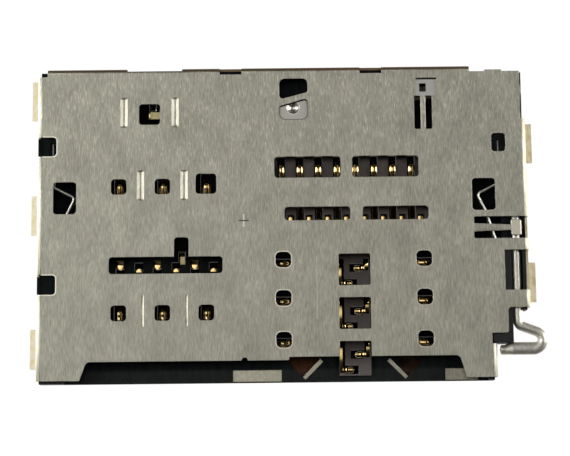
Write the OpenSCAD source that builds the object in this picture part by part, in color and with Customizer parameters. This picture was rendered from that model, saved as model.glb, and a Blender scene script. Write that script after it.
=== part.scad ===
// Tray socket for two sim cards and one memory card, for a phone's main board.
// A stamped steel shell covers a moulded base with spring contacts and an eject rod.
// The board plane is z = 0, the origin is the middle of the footprint, and the tray goes in along +y.

/* [Body] */
// Width over the shell's side walls
body_w = 28.8; // [28.6:0.1:30.2]
// Depth from the front of the base to the back wall
body_d = 18.6; // [18.5:0.1:20]
// Height over the board
body_h = 1.4; // [1.38:0.01:1.6]

/* [Shell] */
// Thickness of the steel sheet
sheet_t = 0.15; // [0.13:0.01:0.17]
// Outside radius of the folded edges
fold_r = 0.3; // [0.25:0.01:0.4]
// Height of the walls' lower edges over the board
wall_lift = 0.2; // [0.19:0.01:0.35]
// Gap between the shell's walls and the base
shell_fit = 0.03; // [0.01:0.01:0.08]
// Corner radius of the windows
window_r = 0.2; // [0.1:0.01:0.3]
// Width of the sheared slits round the lowered tongues
slit_w = 0.08; // [0.05:0.01:0.1]
// Reach of a solder tab past its wall
tab_reach = 0.5; // [0.4:0.05:0.8]
// Length of a solder tab along its wall
tab_l = 2.35; // [1.5:0.05:2.5]
// Depth of the half-pierced ribs
rib_depth = 0.07; // [0.03:0.01:0.09]
// Width of the half-pierced ribs
rib_w = 0.3; // [0.2:0.01:0.5]
// Length of the half-pierced ribs
rib_l = 1.8; // [1:0.1:2]
// Width of the scored lines beside the left sim place's front contacts
score_w = 0.12; // [0.08:0.01:0.2]
// Setback of the side walls' ends from the back wall
wall_setback = 0.48; // [0.45:0.01:0.6]
// Setback of the sheet's edge beside the back wall
edge_setback = 0.37; // [0.33:0.01:0.42]

/* [Mouth] */
// Setback of the shell's front edge from the front of the base, over the left sim place
mouth_depth = 1.25; // [1.05:0.05:1.6]
// Further setback of that edge over the right sim place
mouth_rise = 0.19; // [0.1:0.01:0.3]
// Width of the left leg beside the mouth
left_leg_w = 2.95; // [2.2:0.05:3.6]
// Width of the right leg beside the mouth
right_leg_w = 2.21; // [1.6:0.01:2.5]
// Slant of the legs' inner edges
leg_slant = 0.4; // [0.1:0.05:0.6]
// Setback of the legs' ends from the front of the base
leg_setback = 0.17; // [0.05:0.01:0.3]
// Distance of the right leg's folded wall from the right side wall
leg_inset = 2.01; // [1.8:0.01:2.15]
// Distance of the corner step's edge from the right side wall
step_inset = 1.34; // [1.2:0.01:1.5]
// Place of the corner step's back edge, from the front of the base
step_back = 4.2; // [3.8:0.05:4.6]
// Place of the corner step's front edge, from the front of the base
step_front = 2.72; // [2.5:0.01:3.1]

/* [Base] */
// Thickness of the moulded floor
floor_t = 0.4; // [0.36:0.01:0.5]
// Thickness of the left side wall
left_wall_t = 1.42; // [1.25:0.01:1.5]
// Thickness of the right side wall, with the rod channel in it
right_wall_t = 2.32; // [2.15:0.01:2.4]
// Thickness of the back wall
back_wall_t = 0.27; // [0.2:0.01:0.33]
// Depth of the lever ledge and back wall together
ledge_d = 2; // [1.75:0.01:2.2]
// Length of the latch noses on the left wall
latch_l = 1.02; // [0.8:0.01:1.2]
// Gap round a latch nose in its notch
latch_gap = 0.06; // [0.04:0.01:0.12]
// Depth of a latch notch in the shell's top
latch_d = 1.13; // [0.85:0.01:1.25]
// Distance of the back latch nose from the front of the base
latch_back = 13.93; // [13.85:0.01:14]
// Distance of the front latch nose from the front of the base
latch_front = 5.75; // [5.7:0.01:5.8]
// Depth of the plastic ledge in front of the corner step
step_ledge = 0.6; // [0.4:0.01:0.65]
// Height of the raised floor under the memory card contacts
memory_floor = 0.6; // [0.5:0.01:0.7]
// Height of the raised rib between the right sim place's contacts
centre_floor = 0.6; // [0.5:0.01:0.7]

/* [Contacts] */
// Thickness of the contact strip
contact_t = 0.12; // [0.1:0.01:0.14]
// Height of the strip's anchor over the board
anchor_z = 0.15; // [0.13:0.01:0.2]
// Length of the anchor moulded into the floor
anchor_l = 0.45; // [0.3:0.05:0.5]
// Free height of the contact crests over the board
crest_h = 0.9; // [0.8:0.01:1]
// Radius of the contact crests
crest_r = 0.26; // [0.2:0.01:0.32]
// Length of the nose past a crest
nose_l = 0.22; // [0.1:0.01:0.3]
// Slope of the nose past a crest, in degrees
nose_slope = 50; // [30:1:65]
// Length of the slots past the crests
slot_run = 0.95; // [0.6:0.01:1]
// Length of a solder tail's flat foot
foot_l = 0.5; // [0.3:0.05:0.6]
// Length of a solder tail's step down to the board
step_l = 0.22; // [0.18:0.01:0.3]
// Clearance of the moving strip in its slot
slot_gap = 0.08; // [0.05:0.01:0.1]
// Clearance of the moulded-in strip
mould_gap = 0.005; // [0.002:0.001:0.01]

/* [Memory card] */
// Number of memory card contacts
memory_count = 8; // [8:1:8]
// Pitch of the memory card contacts
memory_pitch = 1.1; // [1.05:0.01:1.12]
// Middle of the memory card contact row across the body
memory_x = 3.79; // [3.7:0.01:3.9]
// Distance of the memory card contact crests from the front of the base
memory_place = 12.45; // [12.2:0.05:12.6]
// Length of the memory card contact beams
memory_beam = 3.4; // [3.2:0.05:3.6]
// Width of the memory card contact beams
memory_beam_w = 0.3; // [0.2:0.01:0.34]
// Width of the memory card contact tails
memory_tail_w = 0.3; // [0.2:0.01:0.34]
// Side margin of the memory card windows
memory_margin = 0.31; // [0.25:0.01:0.35]
// Shift of the two memory card windows away from each other
memory_shift = 0.09; // [0:0.01:0.1]
// Depth of the windows over the crests
memory_window_d = 1.28; // [1:0.01:1.4]
// Depth of the windows over the tails
memory_tail_window_d = 0.81; // [0.7:0.01:1]

/* [Left sim card] */
// Pitch of the left sim contact columns
sim_pitch = 2.56; // [2.5:0.01:2.6]
// Middle column of the left sim contacts
sim_a_x = -7.04; // [-7.1:0.01:-7]
// Distance of the left sim contacts' back row from the front of the base
sim_a_place = 11.5; // [11.4:0.01:11.7]
// Distance of the front row from the back row
sim_a_rows = 7.44; // [7.3:0.01:7.62]
// Distance of the row of solder tails from the front of the base
sim_a_tails = 6.8; // [6.7:0.01:6.9]
// Pitch of the solder tails
tail_pitch = 1.1; // [1.05:0.01:1.15]
// Width of the sim contact beams
sim_beam_w = 0.56; // [0.4:0.01:0.6]
// Width of the sim contact tails
sim_tail_w = 0.36; // [0.25:0.01:0.4]
// Width of the windows over the sim contacts
sim_window = 0.92; // [0.8:0.01:1]
// Width of the larger window over the third contact
sim_wide_window = 1.22; // [1.1:0.01:1.3]
// Length of the window over the solder tails
tail_window_l = 6.66; // [6.4:0.01:6.8]
// Depth of the window over the solder tails
tail_window_d = 1; // [0.9:0.01:1.1]
// Width of the window's stem over the switch tail
stem_w = 0.86; // [0.7:0.01:0.95]
// Length of the window's stem
stem_l = 1.13; // [0.9:0.01:1.3]

/* [Right sim card] */
// Left column of the right sim contacts
sim_b_x = 0.02; // [-0.05:0.01:0.05]
// Distance of the right column from the left column
sim_b_columns = 8.23; // [8.1:0.01:8.3]
// Distance of the right sim contacts' back windows from the front of the base
sim_b_place = 7.11; // [7.05:0.01:7.15]
// Step from the back row to the middle row
sim_b_step_1 = 2.25; // [2.2:0.01:2.3]
// Step from the middle row to the front row
sim_b_step_2 = 2.43; // [2.4:0.01:2.5]
// Setback of the right sim crests from the middles of their windows
sim_b_drop = 0.2; // [0:0.01:0.22]
// Length of the right sim contact beams
sim_b_beam = 3.1; // [3:0.05:3.15]
// Width of the centre windows over the solder tails
centre_window = 1.85; // [1.7:0.01:1.9]
// Distance of the first centre window's back edge from the front of the base
centre_place = 7.42; // [7.35:0.01:7.5]
// Pitch of the centre windows
centre_pitch = 2.55; // [2.5:0.01:2.6]
// Setback of the left contacts' tails from the back edges of the centre windows
left_tail = 1.62; // [1.55:0.01:1.66]
// Setback of the right contacts' tails from the back edges of the centre windows
right_tail = 0.72; // [0.6:0.01:0.8]

/* [Eject rod and lever] */
// Diameter of the rod's wire
rod_d = 0.58; // [0.52:0.01:0.6]
// Clearance round the rod
rod_gap = 0.04; // [0.03:0.01:0.06]
// Distance of the rod's centre line from the right side wall
rod_inset = 0.72; // [0.7:0.01:0.74]
// Travel of the rod
rod_travel = 2; // [1:0.1:2]
// Distance of the rod's pin loop from the front of the base, at the end of its way in
loop_setback = 1.74; // [1.6:0.01:1.8]
// Reach of the loop's outer arc past the right side wall, to its centre line
loop_reach = 0.68; // [0.5:0.01:0.9]
// Centre line radius of the loop's outer arc
loop_r = 0.55; // [0.45:0.01:0.6]
// Centre line radius of the first bend
bend_r = 0.4; // [0.35:0.01:0.5]
// Turn of the first bend, in degrees
bend_turn = 70; // [60:1:75]
// Gap of the loop's end to the leg's wall
loop_gap = 0.18; // [0.1:0.01:0.3]
// Thickness of the lever
lever_t = 0.25; // [0.2:0.01:0.28]
// Running gap over and under the lever
lever_gap = 0.05; // [0.03:0.01:0.08]
// Width of the lever's ends
lever_end_w = 0.7; // [0.5:0.05:0.8]
// Width of the lever at its eye
lever_eye_w = 1.08; // [0.9:0.01:1.12]
// Length of the lever's left arm
lever_left_l = 5.95; // [5:0.05:6]
// Angle of the left arm at rest, in degrees
lever_left_a = 8; // [7:0.5:9]
// Angle of the right arm at rest, in degrees
lever_right_a = 6.3; // [6:0.1:6.6]
// Diameter of the pivot drawn in the shell
pivot_d = 0.5; // [0.4:0.01:0.6]
// Radial clearance of the lever's eye on the pivot
pivot_gap = 0.03; // [0.02:0.01:0.05]
// Place of the pivot across the body
pivot_x = 0.69; // [0.5:0.01:0.9]
// Distance of the pivot from the back wall
pivot_back = 2.44; // [2.35:0.01:2.5]
// Gap between the rod's end and the lever
push_gap = 0.1; // [0.08:0.01:0.15]
// Drop of the lever pad below the sheet
pad_drop = 0.12; // [0.08:0.01:0.13]
// Width of the lever pad
pad_w = 1.67; // [1.5:0.01:1.8]
// Drop of the two spring fingers below the sheet
finger_drop = 0.1; // [0.05:0.01:0.12]
// Distance of the rod's spring finger from the front of the base
press_place = 8.89; // [8.8:0.01:9]

/* [Lock springs] */
// Thickness of the lock springs' strip
spring_t = 0.13; // [0.1:0.01:0.15]
// Reach of the springs' V towards the tray
spring_reach = 1; // [0.8:0.01:1.1]
// Distance of the springs' V from the front of the base
spring_place = 10.92; // [10.8:0.01:11]
// Length of the springs from the V to the front end
spring_front_l = 4.3; // [3.8:0.05:4.5]
// Length of the right spring from the V to the back end
spring_back_l = 3.2; // [2.9:0.05:3.8]
// Length of the left spring from the V to the back end
spring_short_l = 3.25; // [2.9:0.05:3.25]
// Distance of the right spring's root line from the right side wall
right_spring_inset = 1.85; // [1.8:0.01:1.9]
// Distance of the left spring's root line from the left side wall
left_spring_inset = 1.1; // [1:0.01:1.15]
// Radius of the V's bend
spring_r = 0.22; // [0.15:0.01:0.3]
// Clearance of the springs' ends in their slots
spring_gap = 0.02; // [0.01:0.01:0.04]
// Width of the windows over the springs
spring_window_w = 1.36; // [1.2:0.01:1.5]
// Length of the windows over the springs
spring_window_l = 1.9; // [1.7:0.01:2.1]

/* [Detect switch] */
// Middle of the switch window across the body
switch_x = -7.79; // [-7.9:0.01:-7.7]
// Distance of the switch window's middle from the back wall
switch_back = 2.78; // [2.73:0.01:2.83]
// Width of the switch window
switch_window = 1.25; // [1.1:0.01:1.4]
// Width of the switch leaf
leaf_w = 0.47; // [0.4:0.01:0.55]
// Height of the switch leaf over the board
leaf_z = 0.95; // [0.85:0.01:1]
// Opening between the leaf and the fixed terminal
switch_gap = 0.2; // [0.1:0.01:0.25]

/* [Mouth plates] */
// Thickness of the steel inserts
insert_t = 0.12; // [0.1:0.01:0.15]
// Half diagonal of the square openings in the mouth's floor
diamond_r = 1.05; // [0.9:0.01:1.1]
// Distance of the openings' middle from the front of the base
diamond_front = 1.2; // [1.15:0.01:1.3]
// Distance of the openings from the middle of the right sim place
diamond_x = 2.92; // [2.9:0.01:3]
// Steel that shows along one edge of each opening
diamond_lip = 0.24; // [0.1:0.01:0.28]
// Thickness of the base under the openings
diamond_floor = 0.08; // [0.05:0.01:0.12]
// Depth of the bare steel at the mouth's edge
bare_d = 0.74; // [0.5:0.01:0.9]
// Depth of the inserts
plate_d = 1.62; // [1.5:0.01:1.68]
// Reach of the left insert from the middle of the right sim place
plate_reach = 7.21; // [6.9:0.01:7.4]
// Distance of the right insert's end from the right leg's wall
plate_gap = 1.02; // [0.8:0.01:1.2]

/* [Hidden] */
$fn = 48;
eps = 0.02;
corner_steps = 5;

// Planes of the body
right_x = body_w / 2;
left_x = -right_x;
back_y = body_d / 2;
front_y = -back_y;
under_z = body_h - sheet_t;

// Planes of the base
base_right = right_x - sheet_t - shell_fit;
base_left = -base_right;
base_back = back_y - sheet_t - shell_fit;
cavity_left = base_left + left_wall_t;
cavity_right = base_right - right_wall_t;
ledge_y = base_back - ledge_d;
inner_back = base_back - back_wall_t;
base_edge = back_y - edge_setback - shell_fit;
edge_wall_t = 0.15;
step_x = right_x - step_inset;
step_y0 = front_y + step_front;
step_y1 = front_y + step_back;
leg_x = right_x - leg_inset;
wall_open = 0.45;
base_lip = 0.15;

// Shell's front edge and legs
edge_left = front_y + mouth_depth;
edge_right = edge_left + mouth_rise;
leg_y = front_y + leg_setback;
left_leg_x = left_x + left_leg_w;
right_leg_x = leg_x - right_leg_w;
edge_notch_in = 2.29;
edge_notch_x = sim_b_x - edge_notch_in;
edge_notch_r = 0.18;
step_r = 0.06;
edge_step_in = 0.28;
edge_step_x = sim_b_x + edge_step_in;
edge_inset = 3.26;
edge_x = right_x - edge_inset;
left_tab_back = 1.67;
left_tab_mid = 10.02;
left_tab_front = 2.08;
right_tab_back = 4.53;
right_tab_front = 5.75;
left_tabs = [back_y - left_tab_back, front_y + left_tab_mid, front_y + left_tab_front];
right_tabs = [back_y - right_tab_back, front_y + right_tab_front];
latch_places = [front_y + latch_back, front_y + latch_front];

// Rod, lever and pivot
pivot = [pivot_x, back_y - pivot_back];
pad_z = under_z - pad_drop;
lever_top = pad_z - lever_gap;
lever_bottom = lever_top - lever_t;
ledge_z = lever_bottom - lever_gap;
rod_z = under_z - finger_drop - rod_gap - rod_d / 2;
rod_x = right_x - rod_inset;
rod_bed = rod_z - rod_d / 2 - rod_gap;
lever_short = 0.15;
lever_right_l = (rod_x - lever_short - pivot.x) / cos(lever_right_a);
lever_edge = (rod_x - pivot.x) * tan(lever_right_a) - lever_end_w / 2 / cos(lever_right_a);
rod_end = pivot.y + lever_edge - push_gap;
lever_room = 0.5;
lever_front = rod_end - rod_travel - lever_room;
channel_half = rod_d / 2 + rod_gap;
bend_thinning = 0.003;
rib_side = 1.51;
pocket_right = rod_x + channel_half + rod_gap / 2;
pocket_left = switch_x - rib_side - rib_w;
base_step_x = rod_x - channel_half;
base_step_y = step_y0 - step_ledge;

// Contact columns, rows and tails
memory_y = front_y + memory_place;
sim_a_back_y = front_y + sim_a_place;
sim_a_front_y = sim_a_back_y - sim_a_rows;
sim_a_tail_y = front_y + sim_a_tails;
tail_shift = 0.19;
sim_a_tail_x = sim_a_x + tail_shift;
sim_b_right = sim_b_x + sim_b_columns;
centre_shift = 0.03;
sim_b_mid = sim_b_x + sim_b_columns / 2 + centre_shift;
sim_b_back_y = front_y + sim_b_place;
centre_back_y = front_y + centre_place;
spring_y = front_y + spring_place;
press_y = front_y + press_place;
slot_top = max(memory_floor, centre_floor) + eps;
sim_b_rows = [sim_b_back_y, sim_b_back_y - sim_b_step_1, sim_b_back_y - sim_b_step_1 - sim_b_step_2];
contact_mid = anchor_z + contact_t / 2;
switch_y = back_y - switch_back;
stem_shift = 0.92;
stem_x = sim_a_tail_x + stem_shift;
lead_back = 0.45;
lead_y = sim_a_tail_y + tail_window_d / 2 + lead_back;
lead_w = 0.32;

// Contacts as [crest place, beam direction, beam length, beam width, tail shift, tail way, tail width, bare]
// The tail's shift is to the left of the beam's direction; its way is 1 along the beam and -1 against it
// A bare anchor has its end open to the top
memory_contacts = [
    for (i = [0:memory_count - 1])
    [[memory_x + (i - (memory_count - 1) / 2) * memory_pitch, memory_y], 90, memory_beam, memory_beam_w,
        -memory_pitch / 2, 1, memory_tail_w, false]
];
sim_a_contacts = [
    for (row = [0, 1])
    for (column = [-1, 0, 1])
    let (tip_x = sim_a_x + column * sim_pitch)
    let (tip_y = row == 0 ? sim_a_back_y : sim_a_front_y)
    let (tail_x = sim_a_tail_x + (2 * column + row - 0.5) * tail_pitch)
    let (side = row == 0 ? 1 : -1)
    let (reach = abs(tip_y - sim_a_tail_y) - foot_l / 2 - step_l - anchor_l)
    [[tip_x, tip_y], side * 90, reach, sim_beam_w, -side * (tail_x - tip_x), -1, sim_tail_w, false]
];
sim_b_contacts = [
    for (side = [-1, 1])
    for (row = [0:2])
    let (tip_x = side < 0 ? sim_b_x : sim_b_right)
    let (tip_y = sim_b_rows[row] - sim_b_drop)
    let (tail_y = centre_back_y - row * centre_pitch - (side < 0 ? left_tail : right_tail))
    [[tip_x, tip_y], side < 0 ? 180 : 0, sim_b_beam, sim_beam_w,
        side * (tail_y - tip_y), -1, sim_tail_w, true]
];
contacts = concat(memory_contacts, sim_a_contacts, sim_b_contacts);
contact_nodes = concat(
    [for (i = [1:memory_count]) str("memory_contact_", i)],
    [for (i = [1:6]) str("sim_a_contact_", i)],
    [for (i = [1:6]) str("sim_b_contact_", i)]
);

// Points and outlines

function unit(v) = v / norm(v);

// Arc that rounds the corner b between a and c
function corner(a, b, c, r) =
    let (u = unit(a - b), v = unit(c - b))
    let (half = acos(u * v) / 2)
    let (centre = b + unit(u + v) * r / sin(half))
    let (from = b + u * r / tan(half) - centre, to = b + v * r / tan(half) - centre)
    let (start = atan2(from.y, from.x), turn = (atan2(to.y, to.x) - start + 540) % 360 - 180)
    [for (i = [0:corner_steps]) centre + r * [cos(start + turn * i / corner_steps),
                                              sin(start + turn * i / corner_steps)]];

// Closed outline with one radius per corner, 0 for a sharp one
function rounded_outline(points, radii) =
    let (n = len(points))
    [for (i = [0:n - 1])
        each radii[i] > 0 ? corner(points[(i + n - 1) % n], points[i], points[(i + 1) % n], radii[i])
                          : [points[i]]];

// Open path whose inner corners are rounded
function rounded_path(points, r) =
    let (n = len(points))
    concat([points[0]],
           [for (i = [1:n - 2]) each corner(points[i - 1], points[i], points[i + 1], r)],
           [points[n - 1]]);

// Outline of a strip of thickness t along a path, with mitred corners
function ribbon(path, t) =
    let (n = len(path))
    let (sides = [for (i = [0:n - 2]) let (d = unit(path[i + 1] - path[i])) [-d.y, d.x]])
    let (mitres = [for (i = [0:n - 1])
        i == 0 ? sides[0] : i == n - 1 ? sides[n - 2]
               : let (m = unit(sides[i - 1] + sides[i])) m / (m * sides[i])])
    concat([for (i = [0:n - 1]) path[i] + mitres[i] * t / 2],
           [for (i = [n - 1:-1:0]) path[i] - mitres[i] * t / 2]);

function box_corners(x0, y0, x1, y1) = [[x0, y0], [x1, y0], [x1, y1], [x0, y1]];

module rounded_box(x0, y0, x1, y1, r) {
    polygon(rounded_outline(box_corners(x0, y0, x1, y1), [r, r, r, r]));
}

module block(x0, y0, z0, x1, y1, z1) {
    translate([x0, y0, z0]) cube([x1 - x0, y1 - y0, z1 - z0]);
}

// Cut through the shell's top sheet
module sheet_cut() {
    translate([0, 0, under_z - eps]) linear_extrude(sheet_t + 2 * eps) children();
}

module window(x, y, w, d, r = window_r) {
    sheet_cut() rounded_box(x - w / 2, y - d / 2, x + w / 2, y + d / 2, r);
}

// Shell

module top_sheet() {
    outline = [
        [left_x + fold_r, leg_y],
        [left_leg_x - leg_slant, leg_y],
        [left_leg_x, edge_left],
        [edge_step_x, edge_left],
        [edge_step_x, edge_right],
        [right_leg_x, edge_right],
        [right_leg_x + leg_slant, leg_y],
        [leg_x - fold_r, leg_y],
        [leg_x - fold_r, step_y0],
        [step_x, step_y0],
        [step_x, step_y1],
        [right_x - fold_r, step_y1],
        [right_x - fold_r, back_y - fold_r],
        [left_x + fold_r, back_y - fold_r]
    ];
    round = window_r / 2;
    radii = [0, round, fold_r, step_r, step_r, fold_r, round, 0, round, round, window_r, 0, 0, 0];
    translate([0, 0, under_z]) linear_extrude(sheet_t) polygon(rounded_outline(outline, radii));
}

// Folded wall along y from y0 to y1, on the right of the plane x = 0 where the fold starts
module folded_wall(y0, y1) {
    translate([0, y1, 0]) rotate([90, 0, 0]) linear_extrude(y1 - y0) {
        translate([0, body_h - fold_r]) intersection() {
            difference() {
                circle(fold_r);
                circle(fold_r - sheet_t);
            }
            square(fold_r);
        }
        translate([fold_r - sheet_t, wall_lift]) square([sheet_t, body_h - fold_r - wall_lift]);
    }
}

// Solder tab under a folded wall, bent outwards to the board
module solder_tab(y) {
    bend = wall_lift - sheet_t;
    translate([fold_r, y + tab_l / 2, 0]) rotate([90, 0, 0]) linear_extrude(tab_l) {
        translate([bend, wall_lift]) intersection() {
            difference() {
                circle(wall_lift);
                circle(bend);
            }
            translate([-wall_lift, -wall_lift]) square(wall_lift);
        }
        translate([bend, 0]) square([tab_reach - bend, sheet_t]);
    }
}

module shell_walls() {
    wall_top = back_y - wall_setback;
    translate([right_x - fold_r, 0, 0]) folded_wall(step_y1, wall_top);
    translate([right_x - fold_r, 0, 0]) for (y = right_tabs) solder_tab(y);
    mirror([1, 0, 0]) translate([right_x - fold_r, 0, 0]) {
        folded_wall(leg_y, wall_top);
        for (y = left_tabs) solder_tab(y);
    }
    translate([leg_x - fold_r, 0, 0]) folded_wall(leg_y, base_step_y - shell_fit);
    rotate([0, 0, 90]) translate([back_y - fold_r, 0, 0])
        folded_wall(left_x + fold_r + eps, right_x - fold_r - eps);
}

memory_window_shift = 0.13;
tail_window_shift = 0.29;
tail_window_trim = 0.06;

module memory_windows() {
    width = (memory_count / 2 - 1) * memory_pitch + 2 * memory_margin;
    tail_y = memory_y - memory_beam + step_l + foot_l / 2 + tail_window_shift;
    for (side = [-1, 1]) {
        x = memory_x + side * (memory_count / 4 * memory_pitch + memory_shift);
        window(x, memory_y + memory_window_shift, width, memory_window_d);
        window(x + memory_pitch / 2, tail_y, width - tail_window_trim, memory_tail_window_d);
    }
}

bar_shift = 0.05;

module sim_a_windows() {
    for (column = [-1, 0, 1]) {
        x = sim_a_x + column * sim_pitch;
        window(x, sim_a_front_y, sim_window, sim_window);
        if (column < 1) window(x, sim_a_back_y, sim_window, sim_window);
    }
    wide_shift = (sim_wide_window - sim_window) / 2;
    window(sim_a_x + sim_pitch, sim_a_back_y + wide_shift, sim_wide_window, sim_wide_window);
    bar_y = sim_a_tail_y + bar_shift;
    window(sim_a_tail_x, bar_y, tail_window_l, tail_window_d);
    stem_y = bar_y + tail_window_d / 2;
    window(stem_x, stem_y + (stem_l - window_r) / 2, stem_w, stem_l + window_r);
}

module sim_b_windows() {
    half = centre_window / 2;
    for (x = [sim_b_x, sim_b_right]) for (y = sim_b_rows) window(x, y, sim_window, sim_window, fold_r);
    for (row = [0:2]) {
        back = centre_back_y - row * centre_pitch;
        front = row < 2 ? back - centre_window : front_y;
        sheet_cut() rounded_box(sim_b_mid - half, front, sim_b_mid + half, back, window_r / 2);
    }
}

// Windows over the lock springs and over the right spring's end
spring_window_shift = 0.06;
right_window_inset = 2.585;
left_window_inset = 1.63;
end_window_inset = 1.65;
end_window_back = 4.66;
end_window = [0.83, 1.1];

module spring_windows() {
    y = spring_y - spring_window_shift;
    window(right_x - right_window_inset, y, spring_window_w, spring_window_l);
    window(left_x + left_window_inset, y, spring_window_w, spring_window_l);
    window(right_x - end_window_inset, back_y - end_window_back, end_window.x, end_window.y);
}

pad_shift = 0.03;
pad_slope = 16;
pad_r = 0.35;
pad_front = 0.72;
pad_back = 0.25;
pad_overlap = 0.04;
lever_window_slope = 14.5;
lever_window_front = 0.69;
lever_window_back = 1.74;

module lever_window() {
    half = pad_w / 2;
    rise = half * tan(lever_window_slope);
    low = pivot.y + lever_window_front;
    high = pivot.y + lever_window_back;
    outline = [[-half, low - rise], [half, low + rise], [half, high], [-half, high]];
    sheet_cut() translate([pivot.x + pad_shift, 0])
        polygon(rounded_outline(outline, [window_r, window_r, fold_r, fold_r]));
}

// Outline of the lever pad, grown on three sides, with its slanted back edge moved back by slit
module pad_outline(grow, slit) {
    half = pad_w / 2 + grow;
    rise = half * tan(pad_slope);
    front = pivot.y - pad_front - grow;
    back = pivot.y + pad_back + slit;
    outline = [[-half, front], [half, front], [half, back + rise], [-half, back - rise]];
    translate([pivot.x + pad_shift, 0])
        polygon(rounded_outline(outline, [pad_r, pad_r, window_r, window_r / 2]));
}

dimple_r = 0.38;
dimple_depth = 0.2;

// Half-sheared pad that guides the lever, with the drawn pivot under it
module lever_pad() {
    ball_r = (dimple_r * dimple_r + dimple_depth * dimple_depth) / (2 * dimple_depth);
    difference() {
        union() {
            translate([0, 0, pad_z]) linear_extrude(sheet_t) pad_outline(pad_overlap, 0);
            translate([pivot.x, pivot.y, lever_bottom])
                cylinder(d = pivot_d, h = pad_z + eps - lever_bottom);
        }
        translate([pivot.x, pivot.y, pad_z + sheet_t - dimple_depth + ball_r]) sphere(ball_r);
    }
}

// Path of a spring finger's middle, from its root in the sheet down to the head, along u and z
finger_hold = 0.2;
finger_start = 0.08;

function finger_path(root, head, end) =
    let (mid = body_h - sheet_t / 2)
    [[root - finger_hold, mid], [root + finger_start, mid], [head - finger_start, mid - finger_drop],
        [end + finger_start, mid - finger_drop]];

// Slab that holds a spring finger's outline over its whole drop
module finger_slab() {
    translate([0, 0, under_z - finger_drop - eps])
        linear_extrude(sheet_t + finger_drop + 2 * eps) children();
}

// Spring finger that holds the lever down: a stem from the front with a wide head
hold_x = 8.37;
hold_root = back_y - 3.82;
hold_head = back_y - 1.79;
hold_end = back_y - 0.81;
hold_stem_w = 0.3;
hold_left = 0.39;
hold_right = 0.81;
hold_slot = 1.05;
hold_hole = [0.4, 0.5];
hold_hole_back = 0.24;

module hold_finger_outline(grow) {
    translate([hold_x - hold_stem_w / 2, hold_root - finger_hold])
        square([hold_stem_w, hold_head - hold_root + 2 * finger_hold]);
    translate([hold_x - hold_left - grow, hold_head - grow])
        square([hold_left + hold_right + 2 * grow, hold_end - hold_head + 2 * grow]);
}

module hold_finger() {
    path = finger_path(hold_root, hold_head, hold_end);
    half = hold_hole.x / 2;
    hole_y = hold_head + hold_hole_back;
    difference() {
        intersection() {
            finger_slab() hold_finger_outline(0);
            rotate([90, 0, 90]) linear_extrude(right_x) polygon(ribbon(path, sheet_t));
        }
        block(hold_x - half, hole_y, 0, hold_x + half, hole_y + hold_hole.y, body_h + eps);
    }
}

module hold_finger_cuts() {
    window(hold_x, (hold_root + hold_head) / 2, hold_slot, hold_head - hold_root, window_r / 2);
    sheet_cut() hold_finger_outline(slit_w);
}

// Spring finger that holds the rod down: a stem from the left with a hammer head over the rod
press_root = right_x - 3.2;
press_head = right_x - 1.02;
press_end = right_x - 0.42;
press_slot_end = right_x - 0.28;
press_slot = 1.3;
press_root_w = 0.5;
press_neck_w = 0.3;
press_head_w = 0.94;

module press_finger() {
    path = finger_path(press_root, press_head, press_end);
    start = press_root - finger_hold;
    neck = press_head + finger_hold;
    stem = [[start, -press_root_w / 2], [neck, -press_neck_w / 2], [neck, press_neck_w / 2],
        [start, press_root_w / 2]];
    intersection() {
        translate([0, press_y, 0]) finger_slab() {
            polygon(stem);
            rounded_box(press_head, -press_head_w / 2, press_end, press_head_w / 2, window_r / 2);
        }
        translate([0, press_y + press_slot, 0]) rotate([90, 0, 0])
            linear_extrude(2 * press_slot) polygon(ribbon(path, sheet_t));
    }
}

module press_finger_cut() {
    half = press_slot / 2;
    sheet_cut() rounded_box(press_root, press_y - half, press_slot_end, press_y + half, window_r / 2);
}

// Half-pierced ribs as [x, y, width]
switch_rib_shift = 0.11;
back_rib_shift = 0.07;
front_rib_shift = 0.12;
rib_places = [
    for (side = [-1, 1])
    each [[switch_x + side * rib_side, switch_y + switch_rib_shift, rib_w],
        [sim_a_x + side * sim_pitch / 2, sim_a_back_y + back_rib_shift, rib_w],
        [sim_a_x + side * sim_pitch / 2, sim_a_front_y + front_rib_shift, score_w]]
];

module ribs(z, h) {
    for (p = rib_places) {
        half = p[2] / 2;
        translate([0, 0, z]) linear_extrude(h)
            rounded_box(p.x - half, p.y - rib_l / 2, p.x + half, p.y + rib_l / 2, p[2] / 3);
    }
}

// Openings in the folded walls and their edges, from the walls' outsides and from the back or the front
rod_window = [1.46, 5.2, 7.56];
rod_window_h = 0.6;
right_gaps = [[3.24, 1.79], [1.21, 0]];
nub_w = 0.2;
corner_cut = [0.57, 0.47];
switch_gap_x = [-1.34, 1.92];
switch_gap_d = 0.17;
catch_places = [-3, 5.3];
catch_w = 1.3;
catch_d = 0.42;
catch_h = 0.4;
bump_x = [right_x - 2.37, right_x - 1.36];
bump_d = 0.1;

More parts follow.
